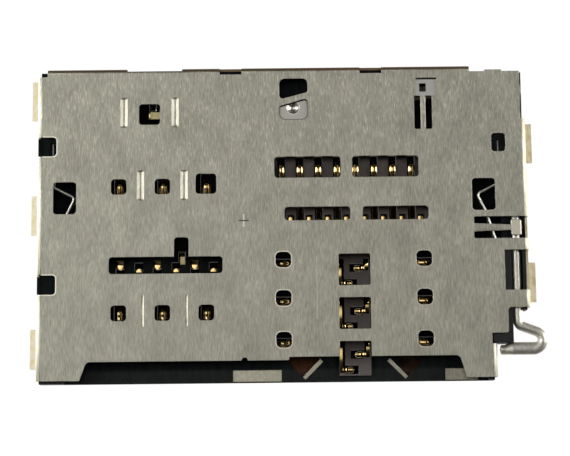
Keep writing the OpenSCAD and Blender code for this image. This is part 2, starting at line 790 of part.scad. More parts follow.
module wall_cuts() {
    high = body_h + eps;
    out = right_x + eps;
    for (y = latch_places) {
        half = latch_l / 2 + latch_gap;
        block(-out, y - half, wall_open, left_x + fold_r, y + half, high);
        sheet_cut() rounded_box(-out - window_r, y - half, left_x + latch_d, y + half, window_r);
    }
    block(right_x - rod_window[0], front_y + rod_window[1], body_h - rod_window_h, out,
          front_y + rod_window[2], high);
    press_half = press_slot / 2;
    block(press_slot_end - window_r, press_y - press_half, body_h - rod_window_h, out,
          press_y + press_half, high);
    for (g = right_gaps) block(right_x - fold_r, back_y - g[0], -eps, out, back_y - g[1] + eps, high);
    block(right_x - nub_w, back_y - right_gaps[0][0], -eps, out, back_y, high);
    block(-out, back_y - corner_cut.y, -eps, left_x + corner_cut.x, back_y + eps, high);
    block(switch_x + switch_gap_x[0], back_y - switch_gap_d, wall_open,
          switch_x + switch_gap_x[1], back_y + eps, high);
    for (x = catch_places) {
        block(x - catch_w / 2, back_y - catch_d, body_h - catch_h, x + catch_w / 2, back_y + eps, high);
    }
    block(edge_x, back_y - edge_setback, -eps, bump_x[0], back_y + eps, high);
    block(bump_x[0] - eps, back_y - edge_setback + bump_d, -eps, bump_x[1] + eps, back_y + eps, high);
    block(bump_x[1], back_y - edge_setback, -eps, out, back_y + eps, high);
}

module shell() {
    color("#97978a") {
        difference() {
            union() {
                top_sheet();
                shell_walls();
                ribs(under_z - rib_depth, rib_depth + eps);
            }
            memory_windows();
            sim_a_windows();
            sim_b_windows();
            window(switch_x, switch_y, switch_window, switch_window);
            lever_window();
            sheet_cut() pad_outline(0, slit_w);
            hold_finger_cuts();
            press_finger_cut();
            spring_windows();
            sheet_cut() translate([edge_notch_x, edge_left]) circle(edge_notch_r);
            ribs(body_h - rib_depth, rib_depth + eps);
            wall_cuts();
        }
        lever_pad();
        hold_finger();
        press_finger();
    }
}

// Contacts

// Centre line of a beam from its anchor over the round crest to the nose, along u and z
function beam_path(beam) =
    let (r = crest_r - contact_t / 2, centre = [0, crest_h - crest_r])
    let (root = [-beam, contact_mid], way = centre - root)
    let (slope = atan2(way.y, way.x) + asin(r / norm(way)))
    let (turn = slope + nose_slope, steps = 8)
    let (crest = [for (i = [0:steps]) let (a = 90 + slope - turn * i / steps) centre + r * [cos(a), sin(a)]])
    let (tip = crest[steps] + nose_l * [cos(nose_slope), -sin(nose_slope)])
    concat([root - [anchor_l, 0], root], crest, [tip]);

// Centre line of a tail from inside the anchor, past its edge at start, down to the foot, along u and z
function tail_path(start, way) =
    let (low = contact_t / 2, turn = start + way * contact_t / 4)
    [[start - way * anchor_l / 2, contact_mid], [turn, contact_mid], [start + way * step_l, low],
        [start + way * (step_l + foot_l), low]];

// Strip with its side profile in the plane of u and z, w wide across
module strip(path, w, t = contact_t) {
    translate([0, w / 2, 0]) rotate([90, 0, 0]) linear_extrude(w) polygon(ribbon(path, t));
}

module placed(c) {
    translate([c[0].x, c[0].y, 0]) rotate([0, 0, c[1]]) children();
}

bare_part = 0.7;

function anchor_side(c, way) =
    way > 0 ? max(c[3] / 2, c[4] + c[6] / 2) : min(-c[3] / 2, c[4] - c[6] / 2);

module contact(c) {
    color("#e3bd72") placed(c) {
        start = c[5] > 0 ? -c[2] : -c[2] - anchor_l;
        strip(beam_path(c[2]), c[3]);
        block(-c[2] - anchor_l, anchor_side(c, -1), anchor_z,
              -c[2], anchor_side(c, 1), anchor_z + contact_t);
        translate([0, c[4], 0]) strip(tail_path(start, c[5]), c[6]);
    }
}

// Slots for the beam and the tail, and the pocket of the moulded-in anchor
module contact_cuts(c) {
    placed(c) {
        beam_half = c[3] / 2 + slot_gap;
        tail_half = c[6] / 2 + slot_gap;
        start = c[5] > 0 ? -c[2] : -c[2] - anchor_l;
        end = start + c[5] * (step_l + foot_l + slot_gap);
        low = anchor_side(c, -1) - mould_gap;
        high = anchor_side(c, 1) + mould_gap;
        block(-c[2], -beam_half, -eps, slot_run, beam_half, slot_top);
        block(min(start, end), c[4] - tail_half, -eps, max(start, end), c[4] + tail_half, slot_top);
        block(-c[2] - anchor_l - mould_gap, low, anchor_z - mould_gap, -c[2] + eps, high,
              anchor_z + contact_t + mould_gap);
        if (c[7]) block(start, low, anchor_z, start + anchor_l * bare_part, high, slot_top);
    }
}

// Base

module base_outline(inset) {
    leg = leg_x - sheet_t - shell_fit - inset;
    polygon([
        [base_left + inset, front_y],
        [leg, front_y],
        [leg, base_step_y],
        [base_step_x, base_step_y],
        [base_step_x, step_y1 - base_lip],
        [base_right - inset, step_y1 - base_lip],
        [base_right - inset, base_edge],
        [edge_x, base_edge],
        [edge_x, base_back - inset],
        [base_left + inset, base_back - inset]
    ]);
}

nose_low = 0.51;
nose_drop = 0.1;
nose_gap = 0.02;

module latch_noses() {
    for (y = latch_places) {
        block(left_x + nose_gap, y - latch_l / 2, nose_low, left_x + latch_d - latch_gap, y + latch_l / 2,
              under_z - nose_drop);
    }
}

// Raised floors round the memory card contacts and between the right sim contacts
memory_side = 4.7;
memory_back = 1.1;
centre_end = 0.35;

module raised_floors() {
    block(memory_x - memory_side, memory_y - memory_beam - 2 * anchor_l, 0,
          memory_x + memory_side + memory_pitch / 2, memory_y + memory_back, memory_floor);
    block(sim_b_mid - centre_window / 2, front_y + centre_end, 0,
          sim_b_mid + centre_window / 2, centre_back_y + centre_end, centre_floor);
}

// Hollow round a lock spring and the slots of its two ends, on the right side
module spring_pocket(back_l, cavity) {
    half = spring_t / 2 + spring_gap;
    tail = spring_shift;
    block(cavity, spring_y - spring_knee - spring_room, floor_t,
          tail + half, spring_y + spring_back, body_h);
    block(-half, spring_y - spring_front_l - spring_gap, floor_t, half, spring_y, body_h);
    block(tail - half, spring_y, floor_t, tail + half, spring_y + back_l + spring_gap, body_h);
}

module rod_channel() {
    block(rod_x - channel_half, front_y, rod_bed, rod_x + channel_half, rod_end + push_gap, body_h);
}

module lever_pockets() {
    edge_back = base_edge - edge_wall_t;
    pocket_step = edge_x - back_wall_t;
    block(pocket_left, ledge_y - eps, ledge_z, pocket_step, inner_back, body_h);
    block(pocket_step - eps, ledge_y - eps, ledge_z, pocket_right, edge_back, body_h);
    block(cavity_right - eps, lever_front, ledge_z, pocket_right, edge_back, body_h);
}

module finger_relief() {
    half = press_slot / 2 + slit_w;
    low = under_z - finger_drop - rod_gap;
    block(cavity_right - eps, press_y - half, low, base_right + eps, press_y + half, body_h);
}

module housing() {
    shoulder = fold_r - sheet_t;
    color("#1d2024") difference() {
        union() {
            difference() {
                union() {
                    linear_extrude(under_z - shoulder) base_outline(0);
                    translate([0, 0, under_z - shoulder - eps])
                        linear_extrude(shoulder + eps) base_outline(shoulder);
                    latch_noses();
                }
                block(cavity_left, front_y - eps, floor_t, cavity_right, ledge_y, body_h);
                lever_pockets();
                rod_channel();
                finger_relief();
                translate([right_x - right_spring_inset, 0, 0])
                    spring_pocket(spring_back_l, cavity_right - right_x + right_spring_inset - eps);
                mirror([1, 0, 0]) translate([right_x - left_spring_inset, 0, 0])
                    spring_pocket(spring_short_l, -cavity_left - right_x + left_spring_inset - eps);
            }
            translate([pivot.x, pivot.y, 0]) cylinder(d = lever_eye_w, h = ledge_z);
            switch_post();
            raised_floors();
        }
        for (c = contacts) contact_cuts(c);
        switch_cuts();
        for (side = [-1, 1]) mouth_plate_cuts(side);
    }
    color("#1d2024") pocket_boss();
}

// Eject rod

// Straight stretch that runs a little way into the bends at its ends
module wire(length, before = eps, after = eps) {
    translate([0, 0, -before]) cylinder(d = rod_d, h = before + length + after);
}

// Wire bend in the board's plane, from angle a through turn degrees round its centre
module wire_bend(r, a, turn) {
    rotate([0, 0, a]) rotate_extrude(angle = turn) translate([r, 0]) circle(d = rod_d - 2 * bend_thinning);
}

module eject_rod() {
    low_y = front_y + loop_setback;
    heading = bend_turn - 90;
    arc = [right_x + loop_reach - loop_r, low_y + loop_r];
    top = arc + loop_r * [cos(heading + 90), sin(heading + 90)];
    reach = (top.x - rod_x - bend_r * (1 - cos(bend_turn))) / cos(heading);
    bend_y = top.y - reach * sin(heading) + bend_r * sin(bend_turn);
    bend_end = [rod_x + bend_r * (1 - cos(bend_turn)), bend_y - bend_r * sin(bend_turn)];
    loop_end = leg_x + loop_gap;
    color("#b8b4a8") translate([0, 0, rod_z]) {
        translate([rod_x, bend_y, 0]) rotate([-90, 0, 0]) wire(rod_end - bend_y, after = 0);
        translate([rod_x + bend_r, bend_y, 0]) wire_bend(bend_r, 180, bend_turn);
        translate([bend_end.x, bend_end.y, 0]) rotate([0, 90, heading]) wire(reach);
        translate([arc.x, arc.y, 0]) wire_bend(loop_r, -90, heading + 180);
        translate([loop_end, low_y, 0]) rotate([0, 90, 0]) wire(arc.x - loop_end, before = 0);
    }
}

// Eject lever

lever_waist = 0.06;

// Tapered arm from the eye to a round end, along its own x
module lever_arm(length) {
    half = lever_eye_w / 2 - lever_waist;
    polygon([[0, -half], [length, -lever_end_w / 2], [length, lever_end_w / 2], [0, half]]);
    translate([length, 0]) circle(d = lever_end_w);
}

module eject_lever() {
    color("#a8a498") translate([pivot.x, pivot.y, lever_bottom]) linear_extrude(lever_t) difference() {
        union() {
            circle(d = lever_eye_w);
            rotate(lever_right_a) lever_arm(lever_right_l);
            rotate(180 + lever_left_a) lever_arm(lever_left_l);
        }
        circle(d = pivot_d + 2 * pivot_gap);
    }
}

// Lock springs

spring_shift = 0.2;
spring_knee = 2.9;
spring_room = 0.05;
spring_back = 0.9;
spring_drop = 0.1;

// Centre line of a spring on the right side, from its front end over the V to its back end
function spring_path(back_l) = rounded_path([
    [0, spring_y - spring_front_l],
    [0, spring_y - spring_knee],
    [-0.62 * spring_reach, spring_y - spring_knee / 3],
    [-1.1 * spring_reach, spring_y],
    [-0.25 * spring_reach, spring_y + 0.42 * spring_reach],
    [spring_shift, spring_y + 0.65 * spring_reach],
    [spring_shift, spring_y + back_l]
], spring_r);

module lock_spring(back_l) {
    translate([0, 0, floor_t]) linear_extrude(under_z - spring_drop - floor_t)
        polygon(ribbon(spring_path(back_l), spring_t));
}

module lock_spring_right() {
    color("#c9c6ba") translate([right_x - right_spring_inset, 0, 0]) lock_spring(spring_back_l);
}

module lock_spring_left() {
    color("#c9c6ba") mirror([1, 0, 0]) translate([right_x - left_spring_inset, 0, 0])
        lock_spring(spring_short_l);
}

// Detect switch

leaf_tip = switch_x - 0.15;
leaf_root = switch_x + 1.25;
leaf_bend = 0.12;
leaf_dip = 0.08;
leaf_rise = 0.15;
leaf_fall = 0.25;
leaf_r = 0.1;
leaf_leg = leaf_root + leaf_bend;
post_w = 0.7;
post_drop = 0.1;
shelf_x = leaf_tip + 2 * leaf_rise;
shelf_back = 0.4;
shelf_leg = 0.5;
shelf_foot = 1;

// Leaf from its tip to the root that goes down into the floor, and the lead to its tail in the stem window
module switch_spring() {
    path = rounded_path([[leaf_tip, leaf_z - leaf_dip], [leaf_tip + leaf_rise, leaf_z], [leaf_root, leaf_z],
        [leaf_leg, leaf_z - leaf_fall], [leaf_leg, anchor_z + eps]], leaf_r);
    color("#e3bd72") {
        translate([0, switch_y, 0]) strip(path, leaf_w);
        block(leaf_leg - contact_t / 2, switch_y - leaf_w / 2, anchor_z, stem_x + lead_w / 2,
              switch_y + leaf_w / 2, anchor_z + contact_t);
        block(stem_x - lead_w / 2, lead_y, anchor_z, stem_x + lead_w / 2, switch_y, anchor_z + contact_t);
        translate([stem_x, lead_y, 0]) rotate([0, 0, 90]) strip(tail_path(0, -1), lead_w);
    }
}

// Fixed terminal: a shelf under the leaf's tip, a leg, and a foot that goes back under the wall
module switch_terminal() {
    shelf_z = leaf_z - contact_t - switch_gap;
    foot_y = switch_y + shelf_foot;
    path = [[switch_y - leaf_w / 2, shelf_z], [switch_y + shelf_back, shelf_z],
        [switch_y + shelf_leg, shelf_z - leaf_r], [switch_y + shelf_leg, contact_mid],
        [foot_y - step_l, contact_mid], [foot_y, contact_t / 2], [foot_y + foot_l, contact_t / 2]];
    color("#e3bd72") translate([shelf_x, 0, 0]) rotate([0, 0, 90]) strip(path, lead_w);
}

// Post of the base that carries the leaf's leg
module switch_post() {
    half = post_w / 2;
    block(leaf_leg - half, switch_y - half, 0, leaf_leg + half, switch_y + half, ledge_z - post_drop);
}

module switch_cuts() {
    leg_half = contact_t / 2 + mould_gap;
    leaf_half = leaf_w / 2 + mould_gap;
    lead_half = lead_w / 2 + mould_gap;
    tail_half = lead_w / 2 + slot_gap;
    low = anchor_z - mould_gap;
    high = anchor_z + contact_t + mould_gap;
    block(leaf_leg - leg_half, switch_y - leaf_half, low, leaf_leg + leg_half, switch_y + leaf_half, body_h);
    block(leaf_leg - leg_half, switch_y - leaf_half, low, stem_x + lead_half, switch_y + leaf_half, high);
    block(stem_x - lead_half, lead_y - mould_gap, low, stem_x + lead_half, switch_y, high);
    block(stem_x - tail_half, lead_y - step_l - foot_l - slot_gap, -eps,
          stem_x + tail_half, lead_y, slot_top);
    block(shelf_x - tail_half, switch_y + shelf_leg - contact_t / 2 - slot_gap, -eps,
          shelf_x + tail_half, switch_y + shelf_foot + foot_l + slot_gap, body_h);
}

// Steel inserts in the floor of the mouth, on one side of the middle of the right sim place

plate_edge = 0.06;
plate_margin = 0.1;
plate_in = diamond_x - diamond_r - plate_margin;
plate_out = [plate_reach, leg_x - plate_gap - sim_b_mid];
bare_w = [2.84, 1.9];
boss_place = [-0.25, -0.07];
boss_d = 0.5;
boss_hole = 0.3;
boss_top = 0.3;

module diamond(grow) {
    translate([0, front_y + diamond_front]) rotate(45) square((diamond_r + grow) * sqrt(2), center = true);
}

function side_index(side) = side < 0 ? 0 : 1;

module plate_outline(side, grow) {
    width = plate_out[side_index(side)] - plate_in;
    difference() {
        translate([plate_in - grow, front_y + plate_edge - grow])
            square([width + 2 * grow, plate_d + 2 * grow]);
        translate([diamond_x + diamond_lip / sqrt(2), diamond_lip / sqrt(2)]) diamond(-grow);
    }
}

module on_side(side) {
    translate([sim_b_mid, 0, 0]) mirror([side < 0 ? 1 : 0, 0, 0]) children();
}

module mouth_plate(side) {
    color("#b9b6a4") on_side(side) translate([0, 0, anchor_z])
        linear_extrude(insert_t) plate_outline(side, 0);
}

module mouth_plate_cuts(side) {
    bare_end = plate_out[side_index(side)] - plate_edge;
    bare_start = bare_end - bare_w[side_index(side)];
    on_side(side) {
        translate([0, 0, anchor_z - mould_gap]) linear_extrude(insert_t + 2 * mould_gap)
            plate_outline(side, mould_gap);
        translate([diamond_x, 0, diamond_floor]) linear_extrude(floor_t) diamond(0);
        block(bare_start, front_y - eps, anchor_z, bare_end, front_y + bare_d, floor_t + eps);
    }
}

// Ring moulded on the floor of the right opening
module pocket_boss() {
    translate([sim_b_mid + diamond_x + boss_place.x, front_y + diamond_front + boss_place.y, 0])
        linear_extrude(boss_top) difference() {
            circle(d = boss_d);
            circle(d = boss_hole);
        }
}

module mouth_plate_left() {
    mouth_plate(-1);
}

module mouth_plate_right() {
    mouth_plate(1);
}

shell();
housing();
eject_rod();
eject_lever();
lock_spring_left();
lock_spring_right();
switch_spring();
switch_terminal();
mouth_plate_left();
mouth_plate_right();
for (i = [0:len(contacts) - 1]) {
    contact(contacts[i]);
}
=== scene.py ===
"""Dressed scene of the sim card socket: stamped steel shell, moulded base, gold contacts, wire eject rod."""
import math

import bmesh
import bpy
import numpy as np
from mathutils import Matrix, Vector


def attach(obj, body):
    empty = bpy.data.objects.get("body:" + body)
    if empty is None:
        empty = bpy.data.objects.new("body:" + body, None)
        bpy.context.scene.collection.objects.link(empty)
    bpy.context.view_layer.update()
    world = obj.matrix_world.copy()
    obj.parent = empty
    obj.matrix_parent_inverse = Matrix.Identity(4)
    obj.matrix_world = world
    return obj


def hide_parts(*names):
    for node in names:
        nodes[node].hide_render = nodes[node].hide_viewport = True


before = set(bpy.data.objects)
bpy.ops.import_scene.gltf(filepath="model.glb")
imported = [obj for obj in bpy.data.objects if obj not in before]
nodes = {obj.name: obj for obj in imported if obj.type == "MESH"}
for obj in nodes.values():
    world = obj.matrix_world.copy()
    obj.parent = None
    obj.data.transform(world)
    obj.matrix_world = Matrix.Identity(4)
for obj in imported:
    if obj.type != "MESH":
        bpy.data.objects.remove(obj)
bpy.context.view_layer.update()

# Lengths are in millimetres, in the frame of the CAD; MM turns them into Blender's metres
MM = 0.001


# Camera: the photograph's own view, 8 degrees off straight down, with its small roll

PHOTO_W = 570
PX_PER_MM = 17.1
SENSOR_W = 36
CAMERA_AWAY = 94.68
CAMERA_TILT = math.radians(8)
CAMERA_ROLL = math.radians(0.6)
LOOK_AT = np.array([0.14, -0.34, 1.4])
NEAREST, FARTHEST = 1, 10000


def photo_camera():
    """Camera on a line tilted forwards from straight up; its lens gives PX_PER_MM at the shell's top."""
    data = bpy.data.cameras.new("photo_camera")
    data.sensor_width = SENSOR_W
    data.lens = PX_PER_MM * CAMERA_AWAY / PHOTO_W * SENSOR_W
    data.clip_start = NEAREST * MM
    data.clip_end = FARTHEST * MM
    camera = bpy.data.objects.new("photo_camera", data)
    away = np.array([0, -math.sin(CAMERA_TILT), math.cos(CAMERA_TILT)])
    camera.location = Vector((LOOK_AT + CAMERA_AWAY * away) * MM)
    tilt = Matrix.Rotation(CAMERA_TILT, 3, "X")
    roll = Matrix.Rotation(-CAMERA_ROLL, 3, "Z")
    camera.rotation_euler = (tilt @ roll).to_euler()
    bpy.context.scene.collection.objects.link(camera)
    bpy.context.scene.camera = camera


# Materials

def linear(colour):
    """sRGB hex colour as linear red, green, blue and alpha."""
    srgb = np.array([int(colour[i:i + 2], 16) for i in (1, 3, 5)]) / 255
    rgb = np.where(srgb <= 0.04045, srgb / 12.92, ((srgb + 0.055) / 1.055) ** 2.4)
    return (*rgb.tolist(), 1.0)


def grey(value):
    """Grey for a ramp that carries a number."""
    return (value, value, value, 1.0)


def span(start, end, low=0.0, high=1.0):
    """Values of a Map Range that takes start to low and end to high."""
    return {"From Min": start, "From Max": end, "To Min": low, "To Max": high}


def add(tree, kind, values=(), links=(), stops=(), **settings):
    """Adds a node with its settings, socket values, links from other nodes' outputs, and two colour stops."""
    node = tree.nodes.new(kind)
    for name, value in settings.items():
        setattr(node, name, value)
    for socket, value in dict(values).items():
        node.inputs[socket].default_value = value
    for socket, source in dict(links).items():
        tree.links.new(source, node.inputs[socket])
    for i, (place, colour) in enumerate(stops):
        stop = node.color_ramp.elements[i]
        stop.position = place
        stop.color = colour if isinstance(colour, tuple) else linear(colour)
    return node


def new_material(name):
    """Empty node material, its tree, and its Object coordinates."""
    material = bpy.data.materials.new(name)
    material.use_nodes = True
    tree = material.node_tree
    tree.nodes.clear()
    place = add(tree, "ShaderNodeTexCoord").outputs["Object"]
    return material, tree, place


def grain(tree, place, size, detail=2.0, rough=0.5, offset=(0, 0, 0)):
    """Irregular pattern from 0 to 1 whose cells are size millimetres along x, y and z."""
    scale = tuple(1 / (s * MM) for s in size)
    laid = add(tree, "ShaderNodeMapping", {"Location": offset, "Scale": scale}, {"Vector": place})
    values = {"Scale": 1.0, "Detail": detail, "Roughness": rough}
    return add(tree, "ShaderNodeTexNoise", values, {"Vector": laid.outputs[0]}).outputs["Fac"]


def bar_mask(tree, xyz, middle, half):
    """1 inside the box |x - mx| < hx, |y - my| < hy in millimetres, 0 outside."""
    inside = {}
    for i, (axis, m, h) in enumerate(zip("XY", middle, half)):
        limits = {1: m * MM, 2: h * MM}
        near = add(tree, "ShaderNodeMath", limits, {0: xyz.outputs[axis]}, operation="COMPARE")
        inside[i] = near.outputs[0]
    return add(tree, "ShaderNodeMath", (), inside, operation="MULTIPLY").outputs[0]


def near_boxes(tree, place, boxes, reach):
    """1 on or near a rounded box seen from above, fading to 0 at reach millimetres from it.

    A box is (x, y, half width, half depth, r), and the distance |max(|p - (x, y)| - half + r, 0)| - r."""
    least = None
    for x, y, half_w, half_d, r in boxes:
        off = add(tree, "ShaderNodeVectorMath", {1: (x * MM, y * MM, 0)}, {0: place}, operation="SUBTRACT")
        size = add(tree, "ShaderNodeVectorMath", (), {0: off.outputs[0]}, operation="ABSOLUTE")
        core = ((half_w - r) * MM, (half_d - r) * MM, 1)
        past = add(tree, "ShaderNodeVectorMath", {1: core}, {0: size.outputs[0]}, operation="SUBTRACT")
        out = add(tree, "ShaderNodeVectorMath", {1: (0, 0, 0)}, {0: past.outputs[0]}, operation="MAXIMUM")
        length = add(tree, "ShaderNodeVectorMath", (), {0: out.outputs[0]}, operation="LENGTH")
        far = add(tree, "ShaderNodeMath", {1: r * MM}, {0: length.outputs["Value"]}, operation="SUBTRACT")
        if least is None:
            least = far
        else:
            pair = {0: least.outputs[0], 1: far.outputs[0]}
            least = add(tree, "ShaderNodeMath", (), pair, operation="MINIMUM")
    fade = span(0.6 * reach * MM, reach * MM, 1.0, 0.0)
    return add(tree, "ShaderNodeMapRange", fade, {"Value": least.outputs[0]}).outputs[0]


def painted(tree, base, layers):
    """Colour base with each (mask, colour) of layers laid over it in turn, by the mask's share."""
    for mask, colour in layers:
        over = add(tree, "ShaderNodeMix", {7: linear(colour)}, {0: mask, 6: base}, data_type="RGBA")
        base = over.outputs[2]
    return base


def finish_surface(tree, **sockets):
    """Principled shader to the output; a socket takes a number or another node's output."""
    values = {k.replace("_", " "): v for k, v in sockets.items() if not hasattr(v, "is_linked")}
    links = {k.replace("_", " "): v for k, v in sockets.items() if hasattr(v, "is_linked")}
    shader = add(tree, "ShaderNodeBsdfPrincipled", values, links)
    add(tree, "ShaderNodeOutputMaterial", (), {"Surface": shader.outputs[0]})


# Windows of the shell with a painted highlight on the rim, as (x, y, half width, half depth, radius)
RIM_REACH = 0.07
SIM_B_WINDOWS = [(x, y, 0.46, 0.46, 0.3) for x in (0.02, 8.25) for y in (-2.19, -4.44, -6.87)]
RIGHT_SPRING_WINDOWS = [(12.75, 4.64, 0.415, 0.55, 0.2), (11.815, 1.56, 0.68, 0.95, 0.2)]
LATCH_WINDOWS = [(-13.84, y, 0.57, 0.57, 0.2) for y in (4.63, -3.55)]
# Half-sheared lever pad with a painted shade line on its sheared edge, its face inside that edge and its
# dimple with a painted highlight, as a box and its mask's reach
PAD = (0.72, 6.77, 0.835, 0.63, 0.35), 0.05
PAD_FACE = (0.72, 6.77, 0.775, 0.57, 0.3), 0.02
DIMPLE = (0.69, 6.86, 0.38, 0.38, 0.38), 0.04
# Slanted slit behind the pad, y = SLIT_Y + SLIT_SLOPE x
SLIT_SLOPE, SLIT_Y = math.tan(math.radians(16)), 6.9
# Marks on the sheet and heads of its two spring fingers, as (middle, half size); the press finger's head
# has a painted highlight
SCRATCH = (1.97, -3.84), (0.035, 1.85)
CROSS_STEM = (-2.28, 0.13), (0.05, 0.38)
CROSS_BAR = (-2.28, 0.13), (0.3, 0.035)
HOLD_HEAD = (8.58, 8.0), (0.6, 0.49)
PRESS_HEAD = (13.68, -0.41), (0.3, 0.47)
# Stretches along y where the flecks grow in number and where the painted shade of the back fold begins
FLECKS_Y = -8 * MM, 6 * MM
BACK_FOLD_Y = 9.03 * MM, 9.12 * MM


def rolled_stainless_sheet():
    """Cold rolled stainless sheet, stamped: warm grey with fine rolling lines along y, drawn coarser than
    real ones so that they show, and short bright flecks towards the back. Some windows have a painted
    highlight on their rolled rims, a little smoother there. The hold finger's head and the lever pad show
    rubbing; the press finger's head has a painted highlight where it is bent. The pad's sheared edge has a
    painted shade line and its dimple a smoother painted highlight. There are a small cross, one long
    scratch and a brown painted shade at the back fold, for the dark that the fold reflects."""
    material, tree, place = new_material("rolled_stainless_sheet")
    xyz = add(tree, "ShaderNodeSeparateXYZ", (), {0: place})
    x, y = xyz.outputs["X"], xyz.outputs["Y"]
    lines = grain(tree, place, (0.06, 0.5, 0.5), detail=3, rough=0.65)
    flecks = grain(tree, place, (0.07, 0.42, 0.42), detail=1, offset=(5, 3, 1))
    cloud = grain(tree, place, (1.3, 2.2, 1.3), detail=4)
    tone = add(tree, "ShaderNodeValToRGB", (), {"Fac": lines}, [(0.3, "#B2B1A4"), (0.7, "#E2E1D5")])
    sparse = add(tree, "ShaderNodeValToRGB", (), {"Fac": flecks}, [(0.6, grey(0)), (0.72, grey(1))])
    upper = add(tree, "ShaderNodeMapRange", span(*FLECKS_Y, 0.15, 0.9), {"Value": y})
    fewer = {0: sparse.outputs[0], 1: upper.outputs[0]}
    bright = add(tree, "ShaderNodeMath", (), fewer, operation="MULTIPLY")
    lit = painted(tree, tone.outputs[0], [(bright.outputs[0], "#F1EFE4")])
    smudge = add(tree, "ShaderNodeValToRGB", (), {"Fac": cloud}, [(0.3, grey(0.84)), (0.7, grey(1.06))])
    toned = add(tree, "ShaderNodeMix", {0: 1.0}, {6: lit, 7: smudge.outputs[0]}, data_type="RGBA",
                blend_type="MULTIPLY")
    lean = add(tree, "ShaderNodeMath", {1: -SLIT_SLOPE}, {0: x, 2: y}, operation="MULTIPLY_ADD")
    front = add(tree, "ShaderNodeMath", {1: SLIT_Y * MM}, {0: lean.outputs[0]}, operation="LESS_THAN")
    # Painted shade line on the pad's sheared edge, a lighter face inside it and a painted highlight in its
    # dimple
    on_pad = []
    for box, reach in (PAD, PAD_FACE, DIMPLE):
        kept = {0: front.outputs[0], 1: near_boxes(tree, place, [box], reach)}
        on_pad.append(add(tree, "ShaderNodeMath", (), kept, operation="MULTIPLY").outputs[0])
    sheared, face, dimple = on_pad
    # Painted highlight on the rims of some windows
    rim = near_boxes(tree, place, SIM_B_WINDOWS + RIGHT_SPRING_WINDOWS + LATCH_WINDOWS, RIM_REACH)
    # Brown painted shade at the back fold, for the dark that it reflects
    back = add(tree, "ShaderNodeMapRange", span(*BACK_FOLD_Y), {"Value": y}).outputs[0]
    # The press finger's head gets a painted highlight
    bars = [(SCRATCH, "#D9DAD0"), (CROSS_STEM, "#FFFFFA"), (CROSS_BAR, "#6E6B60"),
            (HOLD_HEAD, "#D8D9D6"), (PRESS_HEAD, "#F4F0E2")]
    layers = [(bar_mask(tree, xyz, *bar), colour) for bar, colour in bars]
    layers += [(rim, "#F0EDE1"), (sheared, "#9A988C"), (face, "#D6D7D3"), (dimple, "#F6F4EC"),
               (back, "#8A7860")]
    shown = painted(tree, toned.outputs[2], layers)
    rough = add(tree, "ShaderNodeMapRange", span(0.3, 0.7, 0.44, 0.54), {"Value": lines})
    # The painted highlights on the rims and in the dimple are made smoother too
    painted_light = add(tree, "ShaderNodeMath", (), {0: rim, 1: dimple}, operation="MAXIMUM")
    worn = add(tree, "ShaderNodeMath", {1: -0.2}, {0: painted_light.outputs[0], 2: rough.outputs[0]},
               operation="MULTIPLY_ADD")
    relief = add(tree, "ShaderNodeBump", {"Strength": 0.25, "Distance": 0.003 * MM}, {"Height": lines})
    finish_surface(tree, Base_Color=shown, Metallic=1.0, Roughness=worn.outputs[0], Normal=relief.outputs[0])
    return material


def gold_flashed_steel():
    """Folded walls and solder tabs of the same sheet with a thin gold flash: cream, softly blurred and
    uneven, more matt on the right side."""
    material, tree, place = new_material("gold_flashed_steel")
    xyz = add(tree, "ShaderNodeSeparateXYZ", (), {0: place})
    cloud = grain(tree, place, (0.25, 0.5, 0.25), detail=3)
    tone = add(tree, "ShaderNodeValToRGB", (), {"Fac": cloud}, [(0.32, "#EBDDB2"), (0.62, "#FFF9E8")])
    rough = add(tree, "ShaderNodeMapRange", span(0, 1, 0.25, 0.42), {"Value": cloud})
    matt = add(tree, "ShaderNodeMapRange", span(-1 * MM, 1 * MM, 0, 0.32), {"Value": xyz.outputs["X"]})
    worn = add(tree, "ShaderNodeMath", (), {0: rough.outputs[0], 1: matt.outputs[0]}, operation="ADD")
    relief = add(tree, "ShaderNodeBump", {"Strength": 0.3, "Distance": 0.02 * MM}, {"Height": cloud})
    finish_surface(tree, Base_Color=tone.outputs[0], Metallic=1.0, Roughness=worn.outputs[0],
                   Normal=relief.outputs[0])
    return material


# Heights of the base's raised floors and of its two sunk openings, which lie on both sides of MIDDLE_X
RAISED_Z, RAISED_REACH = 0.6, 0.008
SUNK_Z, SUNK_REACH = 0.08, 0.02
MIDDLE_X = 3
# The three centre windows lie at one pitch behind each other, from CENTRE_BACK_Y to the front
CENTRE_PITCH, CENTRE_BACK_Y = 2.55, -1.88
CENTRE_WINDOWS = (4.165, -5.2), (0.95, 3.9)
ROD_CHANNEL = (13.9, -5.0), (1.7, 3.6)
# The mouth's painted shadow from the shell's front edge fades out between these two y
MOUTH_Y = -8.45 * MM, -8.65 * MM


